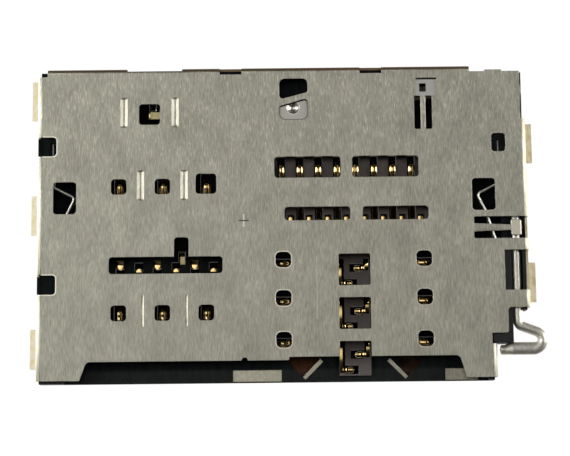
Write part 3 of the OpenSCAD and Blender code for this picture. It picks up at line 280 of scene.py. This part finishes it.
def moulded_polymer():
    """Glass filled liquid crystal polymer, moulded: blue black and matt with faint flow marks. The raised
    floors are painted a lighter brownish grey as painted light, with a painted sheen that grows towards the
    front of each centre window. The rod's channel and the front of the mouth have a little painted sheen;
    behind it, from next to the shell's front edge inwards, the floors that are not raised have almost none,
    as painted shade. The two sunk openings are brown, the left one redder."""
    material, tree, place = new_material("moulded_polymer")
    xyz = add(tree, "ShaderNodeSeparateXYZ", (), {0: place})
    x, y, z = (xyz.outputs[axis] for axis in "XYZ")
    flow = grain(tree, place, (0.25, 0.9, 0.25), detail=3)
    grit = grain(tree, place, (0.05, 0.05, 0.05))
    tone = add(tree, "ShaderNodeValToRGB", (), {"Fac": flow}, [(0.3, "#0F1213"), (0.7, "#1B1F21")])
    raised = add(tree, "ShaderNodeMath", {1: RAISED_Z * MM, 2: RAISED_REACH * MM}, {0: z},
                 operation="COMPARE")
    sunk = add(tree, "ShaderNodeMath", {1: SUNK_Z * MM, 2: SUNK_REACH * MM}, {0: z}, operation="COMPARE")
    left = add(tree, "ShaderNodeMath", {1: MIDDLE_X * MM}, {0: x}, operation="LESS_THAN")
    # Raised floors painted lighter as painted light
    painted_light = painted(tree, tone.outputs[0], [(raised.outputs[0], "#57504F")])
    browns = {6: linear("#3A2A20"), 7: linear("#5A3A26")}
    brown = add(tree, "ShaderNodeMix", browns, {0: left.outputs[0]}, data_type="RGBA")
    spotted = painted(tree, brown.outputs[2], [(flow, "#241812")])
    stained = add(tree, "ShaderNodeMix", (), {0: sunk.outputs[0], 6: painted_light, 7: spotted}, data_type="RGBA")
    # Painted sheen on the raised floors, growing towards the front of each centre window
    in_rows = {1: -1 / (CENTRE_PITCH * MM), 2: CENTRE_BACK_Y / CENTRE_PITCH}
    row = add(tree, "ShaderNodeMath", in_rows, {0: y}, operation="MULTIPLY_ADD")
    along = add(tree, "ShaderNodeMath", (), {0: row.outputs[0]}, operation="FRACT")
    fade = add(tree, "ShaderNodeMapRange", span(0.1, 0.72, 0.15, 1.0), {"Value": along.outputs[0]})
    centre = bar_mask(tree, xyz, *CENTRE_WINDOWS)
    floors = add(tree, "ShaderNodeMix", {2: 0.45}, {0: centre, 3: fade.outputs[0]})
    # Painted shade under the shell: floors that are not raised have almost no sheen; the mouth's front and
    # the rod's channel get a little
    mouth = add(tree, "ShaderNodeMapRange", span(*MOUTH_Y, 0.03, 0.2), {"Value": y})
    channel = bar_mask(tree, xyz, *ROD_CHANNEL)
    shine = add(tree, "ShaderNodeMath", {1: 0.4}, {0: channel, 2: mouth.outputs[0]}, operation="MULTIPLY_ADD")
    gloss = add(tree, "ShaderNodeMix", (), {0: raised.outputs[0], 2: shine.outputs[0], 3: floors.outputs[0]})
    rough = add(tree, "ShaderNodeMapRange", span(0, 1, 0.42, 0.62), {"Value": flow})
    relief = add(tree, "ShaderNodeBump", {"Strength": 0.3, "Distance": 0.004 * MM}, {"Height": grit})
    finish_surface(tree, Base_Color=stained.outputs[2], Roughness=rough.outputs[0], IOR=1.5,
                   Specular_IOR_Level=gloss.outputs[0], Normal=relief.outputs[0])
    return material


# The stretch of a contact's beam that is painted dark as shade lies round this height; the plating's tones
# fade in at these distances from it
BEAM_SHADE_Z = 0.565
BEAM_SHADE_FADE = 0.235 * MM, 0.295 * MM


def plated_bronze(name, dark, light, beam_shade_colour):
    """Phosphor bronze strip: bright, smooth, a little wavy from forming. Crests and feet have the plating's
    tones, dark to light, and the beam between them gets a dark tone as painted shade."""
    material, tree, place = new_material(name)
    xyz = add(tree, "ShaderNodeSeparateXYZ", (), {0: place})
    # Painted shade: the beam's middle height gets the dark colour, crests and feet the plating's tones
    off = add(tree, "ShaderNodeMath", {1: BEAM_SHADE_Z * MM}, {0: xyz.outputs["Z"]}, operation="SUBTRACT")
    away = add(tree, "ShaderNodeMath", (), {0: off.outputs[0]}, operation="ABSOLUTE")
    out_of_shade = add(tree, "ShaderNodeMapRange", span(*BEAM_SHADE_FADE), {"Value": away.outputs[0]})
    draw = grain(tree, place, (0.08, 0.08, 0.08))
    wave = grain(tree, place, (0.3, 0.3, 0.3), detail=1)
    tone = add(tree, "ShaderNodeValToRGB", (), {"Fac": draw}, [(0.3, dark), (0.7, light)])
    shown = add(tree, "ShaderNodeMix", {6: linear(beam_shade_colour)}, {0: out_of_shade.outputs[0], 7: tone.outputs[0]},
                data_type="RGBA")
    rough = add(tree, "ShaderNodeMapRange", span(0, 1, 0.07, 0.15), {"Value": draw})
    relief = add(tree, "ShaderNodeBump", {"Strength": 0.3, "Distance": 0.008 * MM}, {"Height": wave})
    finish_surface(tree, Base_Color=shown.outputs[2], Metallic=1.0, Roughness=rough.outputs[0],
                   Normal=relief.outputs[0])
    return material


def spotted_steel(name, cell, dark, light, low, high):
    """Steel wire or strip, drawn or blanked and tumbled: an even tone with small soft spots, of cell
    millimetres, and a roughness from low to high."""
    material, tree, place = new_material(name)
    spots = grain(tree, place, cell, detail=3)
    tone = add(tree, "ShaderNodeValToRGB", (), {"Fac": spots}, [(0.3, dark), (0.7, light)])
    rough = add(tree, "ShaderNodeMapRange", span(0, 1, low, high), {"Value": spots})
    finish_surface(tree, Base_Color=tone.outputs[0], Metallic=1.0, Roughness=rough.outputs[0])
    return material


# Pieces

# Merging distance, the angles of one plane and of a sharp edge, and the share of a normal along an axis from
# which a face counts as flat
MERGE = 0.0005
SAME_PLANE, SHARP = math.radians(0.5), math.radians(35)
FLAT = 0.9995


def rounded_copy(node, radius, segments=2, zones=(), shape=None):
    """Merged copy of a CAD node whose sharp edges are rolled over by radius.

    zones are (x0, y0, x1, y1, radius): edges whose middle is inside such a box take its radius instead.
    shape may move vertices first. Flat faces stay flat shaded; rolled edges and curved sheet are smooth."""
    bm = bmesh.new()
    bm.from_mesh(nodes[node].data)
    bmesh.ops.scale(bm, vec=(1 / MM,) * 3, verts=bm.verts)
    bmesh.ops.remove_doubles(bm, verts=bm.verts, dist=MERGE)
    if shape:
        shape(bm)
    bmesh.ops.dissolve_limit(bm, angle_limit=SAME_PLANE, verts=bm.verts, edges=bm.edges)
    sharp = {}
    for edge in bm.edges:
        if len(edge.link_faces) == 2 and edge.calc_face_angle(0) > SHARP:
            m = (edge.verts[0].co + edge.verts[1].co) / 2
            r = next((z[4] for z in zones if z[0] < m.x < z[2] and z[1] < m.y < z[3]), radius)
            sharp.setdefault(r, []).append(edge)
    for r, edges in sorted(sharp.items()):
        bmesh.ops.bevel(bm, geom=[e for e in edges if e.is_valid], offset=r, offset_type="OFFSET",
                        profile_type="SUPERELLIPSE", segments=segments, profile=0.5, affect="EDGES",
                        clamp_overlap=True, loop_slide=True, material=-1)
    bmesh.ops.triangulate(bm, faces=[f for f in bm.faces if len(f.verts) > 4])
    for face in bm.faces:
        face.smooth = max(abs(c) for c in face.normal) < FLAT
    bmesh.ops.scale(bm, vec=(MM,) * 3, verts=bm.verts)
    mesh = bpy.data.meshes.new(node + "_dressed")
    bm.to_mesh(mesh)
    bm.free()
    piece = bpy.data.objects.new(node + "_dressed", mesh)
    bpy.context.scene.collection.objects.link(piece)
    return piece


def dress(piece, node, body, slot, *materials):
    """Puts the materials on a piece that stands for a CAD node and rides on its body."""
    for material in materials:
        piece.data.materials.append(material)
    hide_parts(node)
    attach(piece, body)


def surface(name, vertices, faces):
    """Smooth object from vertices in millimetres and faces."""
    mesh = bpy.data.meshes.new(name)
    mesh.from_pydata((np.asarray(vertices) * MM).tolist(), [], faces)
    mesh.polygons.foreach_set("use_smooth", np.ones(len(mesh.polygons), dtype=bool))
    piece = bpy.data.objects.new(name, mesh)
    bpy.context.scene.collection.objects.link(piece)
    return piece


def tube_faces(rings, around, start):
    """Quads between neighbouring rings of a closed tube, and its two caps; vertex numbers begin at start."""
    i, j = np.meshgrid(np.arange(rings - 1), np.arange(around), indexing="ij")
    k = (j + 1) % around
    quads = np.stack([i * around + j, i * around + k, (i + 1) * around + k, (i + 1) * around + j], axis=-1)
    caps = [list(range(start + around - 1, start - 1, -1)),
            list(range(start + (rings - 1) * around, start + rings * around))]
    return (quads.reshape(-1, 4) + start).tolist() + caps


def swept(path, across, half, thick, crown=0.0, bow=0.0, bulge=0.6, *, around):
    """Strip along path with the cross-section of a superellipse, crowned and bowed.

    At path point p with tangent t, side s and normal n = t x s, and at angle a round the section,
    q = half sgn(cos a) |cos a|^bulge and h = thick / 2 sgn(sin a) |sin a|^bulge - crown (q / half)^2 give
    the point p + q s + h n + bow (q / half)^2 t. half, thick, crown and bow may vary along the path."""
    path = np.asarray(path, dtype=float)
    tangent = np.gradient(path, axis=0)
    tangent /= np.linalg.norm(tangent, axis=1, keepdims=True)
    side = np.broadcast_to(np.asarray(across, dtype=float), path.shape)
    side = side - np.sum(side * tangent, axis=1, keepdims=True) * tangent
    normal = np.cross(tangent, side)
    half, thick, crown, bow = (np.broadcast_to(v, len(path))[:, None] for v in (half, thick, crown, bow))
    a = np.linspace(0, 2 * np.pi, around, endpoint=False)
    unit = np.sign(np.cos(a)) * np.abs(np.cos(a)) ** bulge
    lift = np.sign(np.sin(a)) * np.abs(np.sin(a)) ** bulge
    q = half * unit
    h = thick / 2 * lift - crown * unit ** 2
    f = bow * unit ** 2
    points = path[:, None] + q[..., None] * side[:, None] + h[..., None] * normal[:, None]
    return (points + f[..., None] * tangent[:, None]).reshape(-1, 3)


def round_end(place, end, half):
    """Share of the full width that rounds a strip's end off in plan.

    It is sqrt(1 - ((place - end + half) / half)^2) over the last stretch of length half."""
    return np.sqrt(1 - np.clip((place - end + half) / half, 0, 0.995) ** 2)


# Measures that all contacts share
STRIP_T, ANCHOR_Z, ANCHOR_L = 0.12, 0.15, 0.45
STEP_L, FOOT_L = 0.22, 0.5
MID_Z, LOW_Z = ANCHOR_Z + STRIP_T / 2, STRIP_T / 2
CREST_Z = 0.9
CREST_SPREAD = 0.32
CREST_BAND, FOOT_BAND = 0.03, 0.02
BEAM_CROWN = 0.25
NARROW, NARROW_BOW = 0.25, 0.07
# Paths along the beam and up: the flat lip of the front row, from the crest's end, and the tail's step down
LIP = np.array([[0.03, -0.01], [0.06, -0.015], [0.1, -0.018], [0.15, -0.018], [0.2, -0.018], [0.26, -0.018]])
TAIL_STEP = np.array([[-0.2, MID_Z], [-0.1, MID_Z], [0.02, MID_Z], [0.08, 0.17], [0.15, 0.1],
                      [STEP_L, 0.065]])
# Inset and crown of the anchor, for beams that run along x and for those that run along y
CROSS_ANCHOR, LONG_ANCHOR = (0.12, 0.13), (0.0, 0.03)
ANCHOR_BULGE = 0.35
# Steps of the nose that ends every other contact, and vertices round the section
NOSE_STEPS = np.linspace(0.02, 0.12, 7)[:, None]
AROUND = 24


def contact_strip(node, way, beam_half, crest_half, crest_r, dome_r, last, tail_half, tail_fall, foot_l,
                  tail_way):
    """Spring contact measured from its CAD node: crowned beam over a domed crest, anchor and tail foot.

    Along the beam u is 0 at the crest. The beam climbs from its root (-beam, MID_Z) on the tangent of a
    circle of radius r round (0, CREST_Z - crest_r), follows that circle to the angle last, in degrees, and
    ends round in plan, on a flat lip where the beam runs to the front. The dome's fall at q across is
    dome_r - sqrt(dome_r^2 - q^2), spread to the whole strip as crown (q / half)^2. The anchor is crowned
    too, most where the beam runs along x. The tail steps down from the anchor, onwards or backwards by
    tail_way, to a foot that ends round."""
    data = nodes[node].data
    corners = np.empty(len(data.vertices) * 3)
    data.vertices.foreach_get("co", corners)
    corners = corners.reshape(-1, 3) / MM
    way = np.array([*way, 0.0])
    left = np.array([-way[1], way[0], 0.0])
    u, w, z = corners @ way, corners @ left, corners[:, 2]
    top, foot = z > z.max() - CREST_BAND, z < FOOT_BAND
    crest_u, crest_w = (u[top].min() + u[top].max()) / 2, (w[top].min() + w[top].max()) / 2
    shift = (w[foot].min() + w[foot].max()) / 2 - crest_w
    beam = crest_u - u.min() - ANCHOR_L - (STEP_L + FOOT_L if tail_way < 0 else 0)
    origin = crest_u * way + crest_w * left

    def placed(points, aside=0.0):
        """Points (along the beam, up), moved aside, in the frame of the CAD."""
        return origin + points[:, :1] * way + aside * left + points[:, 1:] * np.array([0, 0, 1.0])

    r = crest_r - STRIP_T / 2
    centre, root = np.array([0, CREST_Z - crest_r]), np.array([-beam, MID_Z])
    climb = centre - root
    slope = math.atan2(climb[1], climb[0]) + math.asin(r / math.hypot(*climb))
    last = math.radians(last)
    turn = np.linspace(math.pi / 2 + slope, last, 22)
    arc = centre + r * np.stack([np.cos(turn), np.sin(turn)], axis=1)
    share = np.linspace(0, 1, 24)[:-1, None]
    rise = root * (1 - share) + arc[0] * share
    fall_way = np.array([math.sin(last), -math.cos(last)])
    nose = LIP if way[1] < 0 else NOSE_STEPS * fall_way
    path = np.concatenate([[[-beam - ANCHOR_L, MID_Z]], rise, arc, arc[-1] + nose])
    near = np.exp(-(path[:, 0] / CREST_SPREAD) ** 2)
    half = (beam_half + (crest_half - beam_half) * near) * round_end(path[:, 0], path[-1, 0], crest_half)
    fall = dome_r - math.sqrt(dome_r ** 2 - crest_half ** 2)
    crown = fall * (BEAM_CROWN + (1 - BEAM_CROWN) * near) * (half / crest_half) ** 2
    bow = NARROW_BOW * near if crest_half < NARROW else 0.0
    parts = [swept(placed(path), left, half, STRIP_T, crown, bow, around=AROUND)]

    start = -beam if tail_way > 0 else -beam - ANCHOR_L
    flat = np.stack([np.linspace(STEP_L + 0.05, STEP_L + foot_l, 14), np.full(14, LOW_Z)], axis=1)
    tail = np.concatenate([TAIL_STEP, flat])
    wide = tail_half * round_end(tail[:, 0], tail[-1, 0], tail_half)
    tail_path = np.stack([start + tail_way * tail[:, 0], tail[:, 1]], axis=1)
    tail_crown = tail_fall * (wide / tail_half) ** 2
    parts.append(swept(placed(tail_path, shift), left * tail_way, wide, STRIP_T, tail_crown, around=AROUND))

    low, high = min(-beam_half, shift - tail_half), max(beam_half, shift + tail_half)
    inset, anchor_crown = CROSS_ANCHOR if way[0] else LONG_ANCHOR
    plate = np.stack([np.linspace(inset - beam - ANCHOR_L, -beam - inset, 12), np.full(12, MID_Z)], axis=1)
    parts.append(swept(placed(plate, (low + high) / 2), left, (high - low) / 2, STRIP_T, anchor_crown,
                       bulge=ANCHOR_BULGE, around=AROUND))
    faces, count = [], 0
    for part in parts:
        faces += tube_faces(len(part) // AROUND, AROUND, count)
        count += len(part)
    return surface(node + "_strip", np.concatenate(parts), faces)


# Wire of the eject rod: its radius and height, its straight leg, its elbow and its loop
WIRE_R, WIRE_Z = 0.29, 0.82
LEG_X, LEG_BACK, LEG_FRONT = 13.68, 7.842, -5.7
ELBOW, ELBOW_R = np.array([14.08, -5.835]), 0.4
LOOP, LOOP_R = np.array([14.53, -7.01]), 0.55
BEND = 70
# Push end: where it starts and ends, its rounded stretch, and how much wider and lower it is coined
PUSH_START, PUSH_END, PUSH_ROUND = 14.4, 12.57, 0.12
WIDER, LOWER = 0.28, 0.25
# The coining grows over an angle of the loop, in radians, and fades over a stretch before the end
COIN_ANGLE, COIN_TURN = 0.2, 1.1
COIN_X, COIN_FADE = 12.9, 0.4
WIRE_AROUND = 32


def eject_wire():
    """Wire along the rod's own path in the board's plane, swept with an ellipse.

    The path runs straight from the back, bends by BEND degrees, goes out to the loop, round it and back to
    the leg. The push end is coined by f from 0 to 1: a = r (1 + WIDER f) across and b = r (1 - LOWER f) up,
    with the centre line moved inwards by a - r so that the outer edge stays straight."""
    r = WIRE_R
    turn = np.radians(np.linspace(180, 180 + BEND, 16))
    back = np.radians(np.linspace(BEND, -90, 40))
    leg = np.stack([np.full(40, LEG_X), np.linspace(LEG_BACK, LEG_FRONT, 40)], axis=1)
    elbow = ELBOW + ELBOW_R * np.stack([np.cos(turn), np.sin(turn)], axis=1)
    hook_way = np.stack([np.cos(back), np.sin(back)], axis=1)
    out_end = LOOP + LOOP_R * hook_way[0]
    out = elbow[-1] + np.linspace(0.1, 0.9, 6)[:, None] * (out_end - elbow[-1])
    push = np.stack([np.linspace(PUSH_START, PUSH_END, 40), np.full(40, LOOP[1] - LOOP_R)], axis=1)
    on_hook = np.clip((-back - COIN_ANGLE) / COIN_TURN, 0, 1)
    on_push = np.clip((push[:, 0] - COIN_X) / COIN_FADE, 0, 1)
    hook = LOOP + (LOOP_R - WIDER * r * on_hook)[:, None] * hook_way
    push[:, 1] += WIDER * r * on_push
    flat = np.concatenate([leg, elbow, out, hook, push])
    path = np.column_stack([flat, np.full(len(flat), WIRE_Z)])
    step = np.gradient(flat, axis=0)
    side = np.column_stack([-step[:, 1], step[:, 0], np.zeros(len(flat))])
    side /= np.linalg.norm(side, axis=1, keepdims=True)
    f = np.concatenate([np.zeros(len(flat) - len(hook) - len(push)), on_hook, on_push])
    tip = round_end(PUSH_START - push[:, 0], PUSH_START - PUSH_END, PUSH_ROUND)
    end = np.concatenate([np.ones(len(flat) - len(push)), tip])
    half, thick = r * (1 + WIDER * f) * end, 2 * r * (1 - LOWER * f) * end
    points = swept(path, side, half, thick, bulge=1.0, around=WIRE_AROUND)
    return surface("eject_rod_wire", points, tube_faces(len(path), WIRE_AROUND, 0))


# Middles of the half-pierced ribs and of the scored lines, and how far they reach across and along
RIBS = [(-9.30, 6.63), (-6.28, 6.63), (-8.32, 2.27), (-5.76, 2.27)]
SCORES = [(-8.32, -5.12), (-5.76, -5.12)]
RIB_REACH, SCORE_REACH, HALF_LENGTH = 0.2, 0.1, 1
# Heights of their floors and of the sheet's top, and the tolerance with which a vertex is found there
RIB_FLOOR_Z, TOP_Z, TOLERANCE = 1.33, 1.4, 0.005
# Shares of their width and length that the ribs' floors and top edges take
FLOOR_W, FLOOR_L, TOP_W = 0.35, 0.9, 1.45
# Shift of a scored line, and the width of its floor and of its top
SCORE_SHIFT, SCORE_FLOOR, SCORE_TOP = 0.06, 0.02, 0.15
# Box round the hold finger's head, and each slit wall's place in the solid and as drawn
SLIT_W, SLIT_TOLERANCE = 0.08, 0.006
HOLD_BOX = (7.8, 7.3, 9.4, 8.7)
HOLD_SIDES = [(7.98 - SLIT_W, 7.972), (9.18 + SLIT_W, 9.188)]
HOLD_FRONT, HOLD_STEM_X = (7.51 - SLIT_W, 7.502), 8.85


def coined_sheet(bm):
    """Moves vertices of the shell's copy to the finish of the real sheet.

    The half-pierced ribs get slanted long walls, with narrow floors and spread top edges, the scored lines
    get slanted right walls, and the slits round the hold finger's head are drawn almost shut."""
    for vertex in bm.verts:
        floor = abs(vertex.co.z - RIB_FLOOR_Z) < TOLERANCE
        top = abs(vertex.co.z - TOP_Z) < TOLERANCE
        for x, y in RIBS:
            off_x, off_y = vertex.co.x - x, vertex.co.y - y
            if abs(off_x) < RIB_REACH and abs(off_y) < HALF_LENGTH:
                vertex.co.x = x + off_x * (FLOOR_W if floor else TOP_W if top else 1)
                vertex.co.y = y + off_y * (FLOOR_L if floor else 1)
        if HOLD_BOX[0] < vertex.co.x < HOLD_BOX[2] and HOLD_BOX[1] < vertex.co.y < HOLD_BOX[3]:
            for wall, drawn in HOLD_SIDES:
                vertex.co.x = drawn if abs(vertex.co.x - wall) < SLIT_TOLERANCE else vertex.co.x
            wall, drawn = HOLD_FRONT
            if abs(vertex.co.y - wall) < SLIT_TOLERANCE and vertex.co.x > HOLD_STEM_X:
                vertex.co.y = drawn
        for x, y in SCORES:
            off_x, off_y = vertex.co.x - x, vertex.co.y - y
            if abs(off_x) < SCORE_REACH and abs(off_y) < HALF_LENGTH and (floor or top):
                width = 0.0 if off_x < 0 else SCORE_FLOOR if floor else SCORE_TOP
                vertex.co.x = x + SCORE_SHIFT + width


# Radii of the rolled edges
SHEET_ROLL, MOULD_ROLL, STRIP_ROLL, SPRING_ROLL, LEVER_ROLL = 0.02, 0.025, 0.03, 0.06, 0.04
# Edges near the lever pad, the press finger's head and the sunk openings are rolled by their own radius
PAD_ZONE = (-0.3, 5.9, 1.75, 7.6, 0.05)
PRESS_ZONE = (13.2, -1.0, 14.03, 0.2, 0.06)
OPENING_ZONES = ((0.1, -9.25, 2.4, -6.9, 0.06), (5.9, -9.25, 8.3, -6.9, 0.06))
# Walls and tabs of the shell lie further out than this along x
WALL_X = 14.3

MEMORY = dict(beam_half=0.13, crest_half=0.22, crest_r=0.9, dome_r=0.3, last=66,
              tail_half=0.21, tail_fall=0.004, foot_l=0.64, tail_way=1)
SIM_A_BACK = dict(beam_half=0.28, crest_half=0.28, crest_r=0.55, dome_r=0.32, last=52,
                  tail_half=0.28, tail_fall=0.006, foot_l=0.32, tail_way=-1)
SIM_A_FRONT = dict(SIM_A_BACK, last=75, foot_l=0.25)
SIM_B = dict(beam_half=0.2, crest_half=0.26, crest_r=0.4, dome_r=0.28, last=45,
             tail_half=0.17, tail_fall=0.02, foot_l=0.3, tail_way=-1)
# Rows of contacts: name, numbers, the way from the root to the crest, and the measures
CONTACT_ROWS = [
    ("memory_contact_", range(1, 9), (0, 1), MEMORY),
    ("sim_a_contact_", (1, 2, 3), (0, 1), SIM_A_BACK),
    ("sim_a_contact_", (4, 5, 6), (0, -1), SIM_A_FRONT),
    ("sim_b_contact_", (1, 2, 3), (-1, 0), SIM_B),
    ("sim_b_contact_", (4, 5, 6), (1, 0), SIM_B),
]

photo_camera()

steel = rolled_stainless_sheet()
tab_gold = gold_flashed_steel()
polymer = moulded_polymer()
# Full gold on the contacts, a thin dull flash on the switch leaf, and dark unplated bronze on its terminal;
# on each the beam's middle is painted dark as shade
gold = plated_bronze("gold_plated_bronze", "#E2BC74", "#F7DFA8", "#5A4026")
leaf_gold = plated_bronze("gold_flashed_leaf", "#7E7558", "#988E6E", "#5A4026")
bronze = plated_bronze("bare_phosphor_bronze", "#3A2E1C", "#54442A", "#2E2416")
# Clean light wire, a lever painted dark for the shade it lies in under the shell, near white spring strip,
# and dull nickel on the mouth's inserts
WIRE_SPOTS, STRIP_SPOTS = (0.14, 0.2, 0.14), (0.12, 0.2, 0.12)
wire = spotted_steel("drawn_wire", WIRE_SPOTS, "#D8D5CC", "#F0EEE8", 0.42, 0.54)
lever_steel = spotted_steel("shade_darkened_lever_steel", STRIP_SPOTS, "#3B352C", "#565046", 0.35, 0.5)
spring_steel = spotted_steel("rolled_spring_strip", STRIP_SPOTS, "#EFEDE6", "#FFFFFA", 0.36, 0.48)
insert_steel = spotted_steel("nickel_plated_insert", STRIP_SPOTS, "#B6B3A2", "#D2CFBF", 0.28, 0.4)

shell = rounded_copy("shell", SHEET_ROLL, zones=(PAD_ZONE, PRESS_ZONE), shape=coined_sheet)
dress(shell, "shell", "socket", "shell_steel", steel, tab_gold)
centres = np.empty(len(shell.data.polygons) * 3)
shell.data.polygons.foreach_get("center", centres)
on_wall = np.abs(centres[0::3]) > WALL_X * MM
shell.data.polygons.foreach_set("material_index", on_wall.astype(np.int32))
housing = rounded_copy("housing", MOULD_ROLL, zones=OPENING_ZONES)
dress(housing, "housing", "socket", "black_plastic", polymer)

for row, numbers, way, measures in CONTACT_ROWS:
    for number in numbers:
        name = row + str(number)
        dress(contact_strip(name, way, **measures), name, "socket", "gold_plate", gold)
dress(rounded_copy("switch_spring", STRIP_ROLL), "switch_spring", "socket", "gold_plate", leaf_gold)
dress(rounded_copy("switch_terminal", STRIP_ROLL), "switch_terminal", "socket", "gold_plate", bronze)
for side in ("left", "right"):
    spring, plate = "lock_spring_" + side, "mouth_plate_" + side
    dress(rounded_copy(spring, SPRING_ROLL, segments=4), spring, "socket", "spring_steel", spring_steel)
    dress(rounded_copy(plate, STRIP_ROLL), plate, "socket", "insert_steel", insert_steel)
dress(eject_wire(), "eject_rod", "rod", "wire_steel", wire)
lever = rounded_copy("eject_lever", LEVER_ROLL, segments=3)
dress(lever, "eject_lever", "lever", "lever_steel", lever_steel)


# Stage: a white card that glows by itself except under the part, where its shadow is painted, and a light
# tent

FLOOR_HALF = 600
FOOTPRINT = [(-1.05, 0.0, 12.85, 8.8, 0.0), (12.8, 2.0, 1.0, 6.8, 0.0)]
SHADE_REACH = 0.5
CARD_GLOW, SHADE_GLOW = 1.02, 0.001


def pale_floor():
    """Large flat sheet in the board's plane, evenly lit as in the photograph, with a painted shadow only
    under the part, and clear from below, where the underside shows."""
    size = FLOOR_HALF * MM
    corners = [(-size, -size, 0), (size, -size, 0), (size, size, 0), (-size, size, 0)]
    mesh = bpy.data.meshes.new("floor")
    mesh.from_pydata(corners, [], [(0, 1, 2, 3)])
    floor = bpy.data.objects.new("floor", mesh)
    bpy.context.scene.collection.objects.link(floor)
    material, tree, place = new_material("white_card")
    # Painted shadow under the part's footprint
    shade = near_boxes(tree, place, FOOTPRINT, SHADE_REACH)
    strength = add(tree, "ShaderNodeMapRange", span(0, 1, CARD_GLOW, SHADE_GLOW), {"Value": shade})
    glow = add(tree, "ShaderNodeEmission", {"Color": linear("#FFFFFF")}, {"Strength": strength.outputs[0]})
    under = add(tree, "ShaderNodeNewGeometry").outputs["Backfacing"]
    clear = add(tree, "ShaderNodeBsdfTransparent")
    seen = add(tree, "ShaderNodeMixShader", (), {0: under, 1: glow.outputs[0], 2: clear.outputs[0]})
    add(tree, "ShaderNodeOutputMaterial", (), {"Surface": seen.outputs[0]})
    mesh.materials.append(material)
    floor.visible_glossy = False


# Spans over x, y or z of the light's direction, with the brightness or share at their two ends
LEFT_PANEL = span(-0.48, -0.64, 0.0, 5.5)
RIGHT_PANEL = span(0.56, 0.7, 0.0, 6.6)
BAND_Y, BAND = 0.19, span(0.13, 0.23, 1.0, 0.0)
LOW_EDGE = span(0.05, 0.35, 0.4, 1.0)
RING = span(0.5, 0.36, 0.02, 0.2)
BELOW = span(-0.25, -0.6, 0.0, 0.7)
# Patch above: its middle, the cosines over which it grows, its brightness and its fall along x
TOP_WAY, TOP_SPREAD = (-0.14, 0.16, 0.977), span(0.96, 0.99)
TOP_GLOW, TOP_LEAN = 1.06, 2.6
BACKDROP = 1.0


def studio_world():
    """Light tent: panels from half height down to the horizon on the left and right, a dim patch above that
    falls off to the right, a weak ring low down all round, and a glow from below for the underside. The
    camera itself sees a plain pale backdrop."""
    world = bpy.data.worlds.new("studio")
    world.use_nodes = True
    tree = world.node_tree
    tree.nodes.clear()
    way = add(tree, "ShaderNodeTexCoord").outputs["Generated"]
    xyz = add(tree, "ShaderNodeSeparateXYZ", (), {0: way})
    x, y, z = (xyz.outputs[axis] for axis in "XYZ")
    off = add(tree, "ShaderNodeMath", {1: BAND_Y}, {0: y}, operation="SUBTRACT")
    aside = add(tree, "ShaderNodeMath", (), {0: off.outputs[0]}, operation="ABSOLUTE")
    facing = add(tree, "ShaderNodeVectorMath", {1: TOP_WAY}, {0: way}, operation="DOT_PRODUCT")
    spans = [(LEFT_PANEL, x), (RIGHT_PANEL, x), (BAND, aside.outputs[0]), (LOW_EDGE, z),
             (TOP_SPREAD, facing.outputs["Value"]), (RING, z), (BELOW, z)]
    left, right, band, edge, above, ring, below = (
        add(tree, "ShaderNodeMapRange", values, {"Value": source}, interpolation_type="SMOOTHSTEP").outputs[0]
        for values, source in spans)
    sides = add(tree, "ShaderNodeMath", (), {0: left, 1: right}, operation="ADD")
    strips = add(tree, "ShaderNodeMath", (), {0: sides.outputs[0], 1: band}, operation="MULTIPLY")
    panels = add(tree, "ShaderNodeMath", (), {0: strips.outputs[0], 1: edge}, operation="MULTIPLY")
    lean = add(tree, "ShaderNodeMath", {1: -TOP_LEAN, 2: TOP_GLOW}, {0: x}, operation="MULTIPLY_ADD")
    top = add(tree, "ShaderNodeMath", (), {0: above, 1: lean.outputs[0]}, operation="MULTIPLY")
    fill = add(tree, "ShaderNodeMath", (), {0: ring, 1: below}, operation="ADD")
    total = add(tree, "ShaderNodeMath", (), {0: panels.outputs[0], 1: top.outputs[0]}, operation="ADD")
    lifted = add(tree, "ShaderNodeMath", (), {0: total.outputs[0], 1: fill.outputs[0]}, operation="ADD")
    direct = add(tree, "ShaderNodeLightPath").outputs["Is Camera Ray"]
    shown = add(tree, "ShaderNodeMix", {3: BACKDROP}, {0: direct, 2: lifted.outputs[0]})
    glow = add(tree, "ShaderNodeBackground", {"Color": linear("#FFFDF6")}, {"Strength": shown.outputs[0]})
    add(tree, "ShaderNodeOutputWorld", (), {"Surface": glow.outputs[0]})
    bpy.context.scene.world = world


pale_floor()
studio_world()
bpy.context.scene.view_settings.view_transform = "Standard"
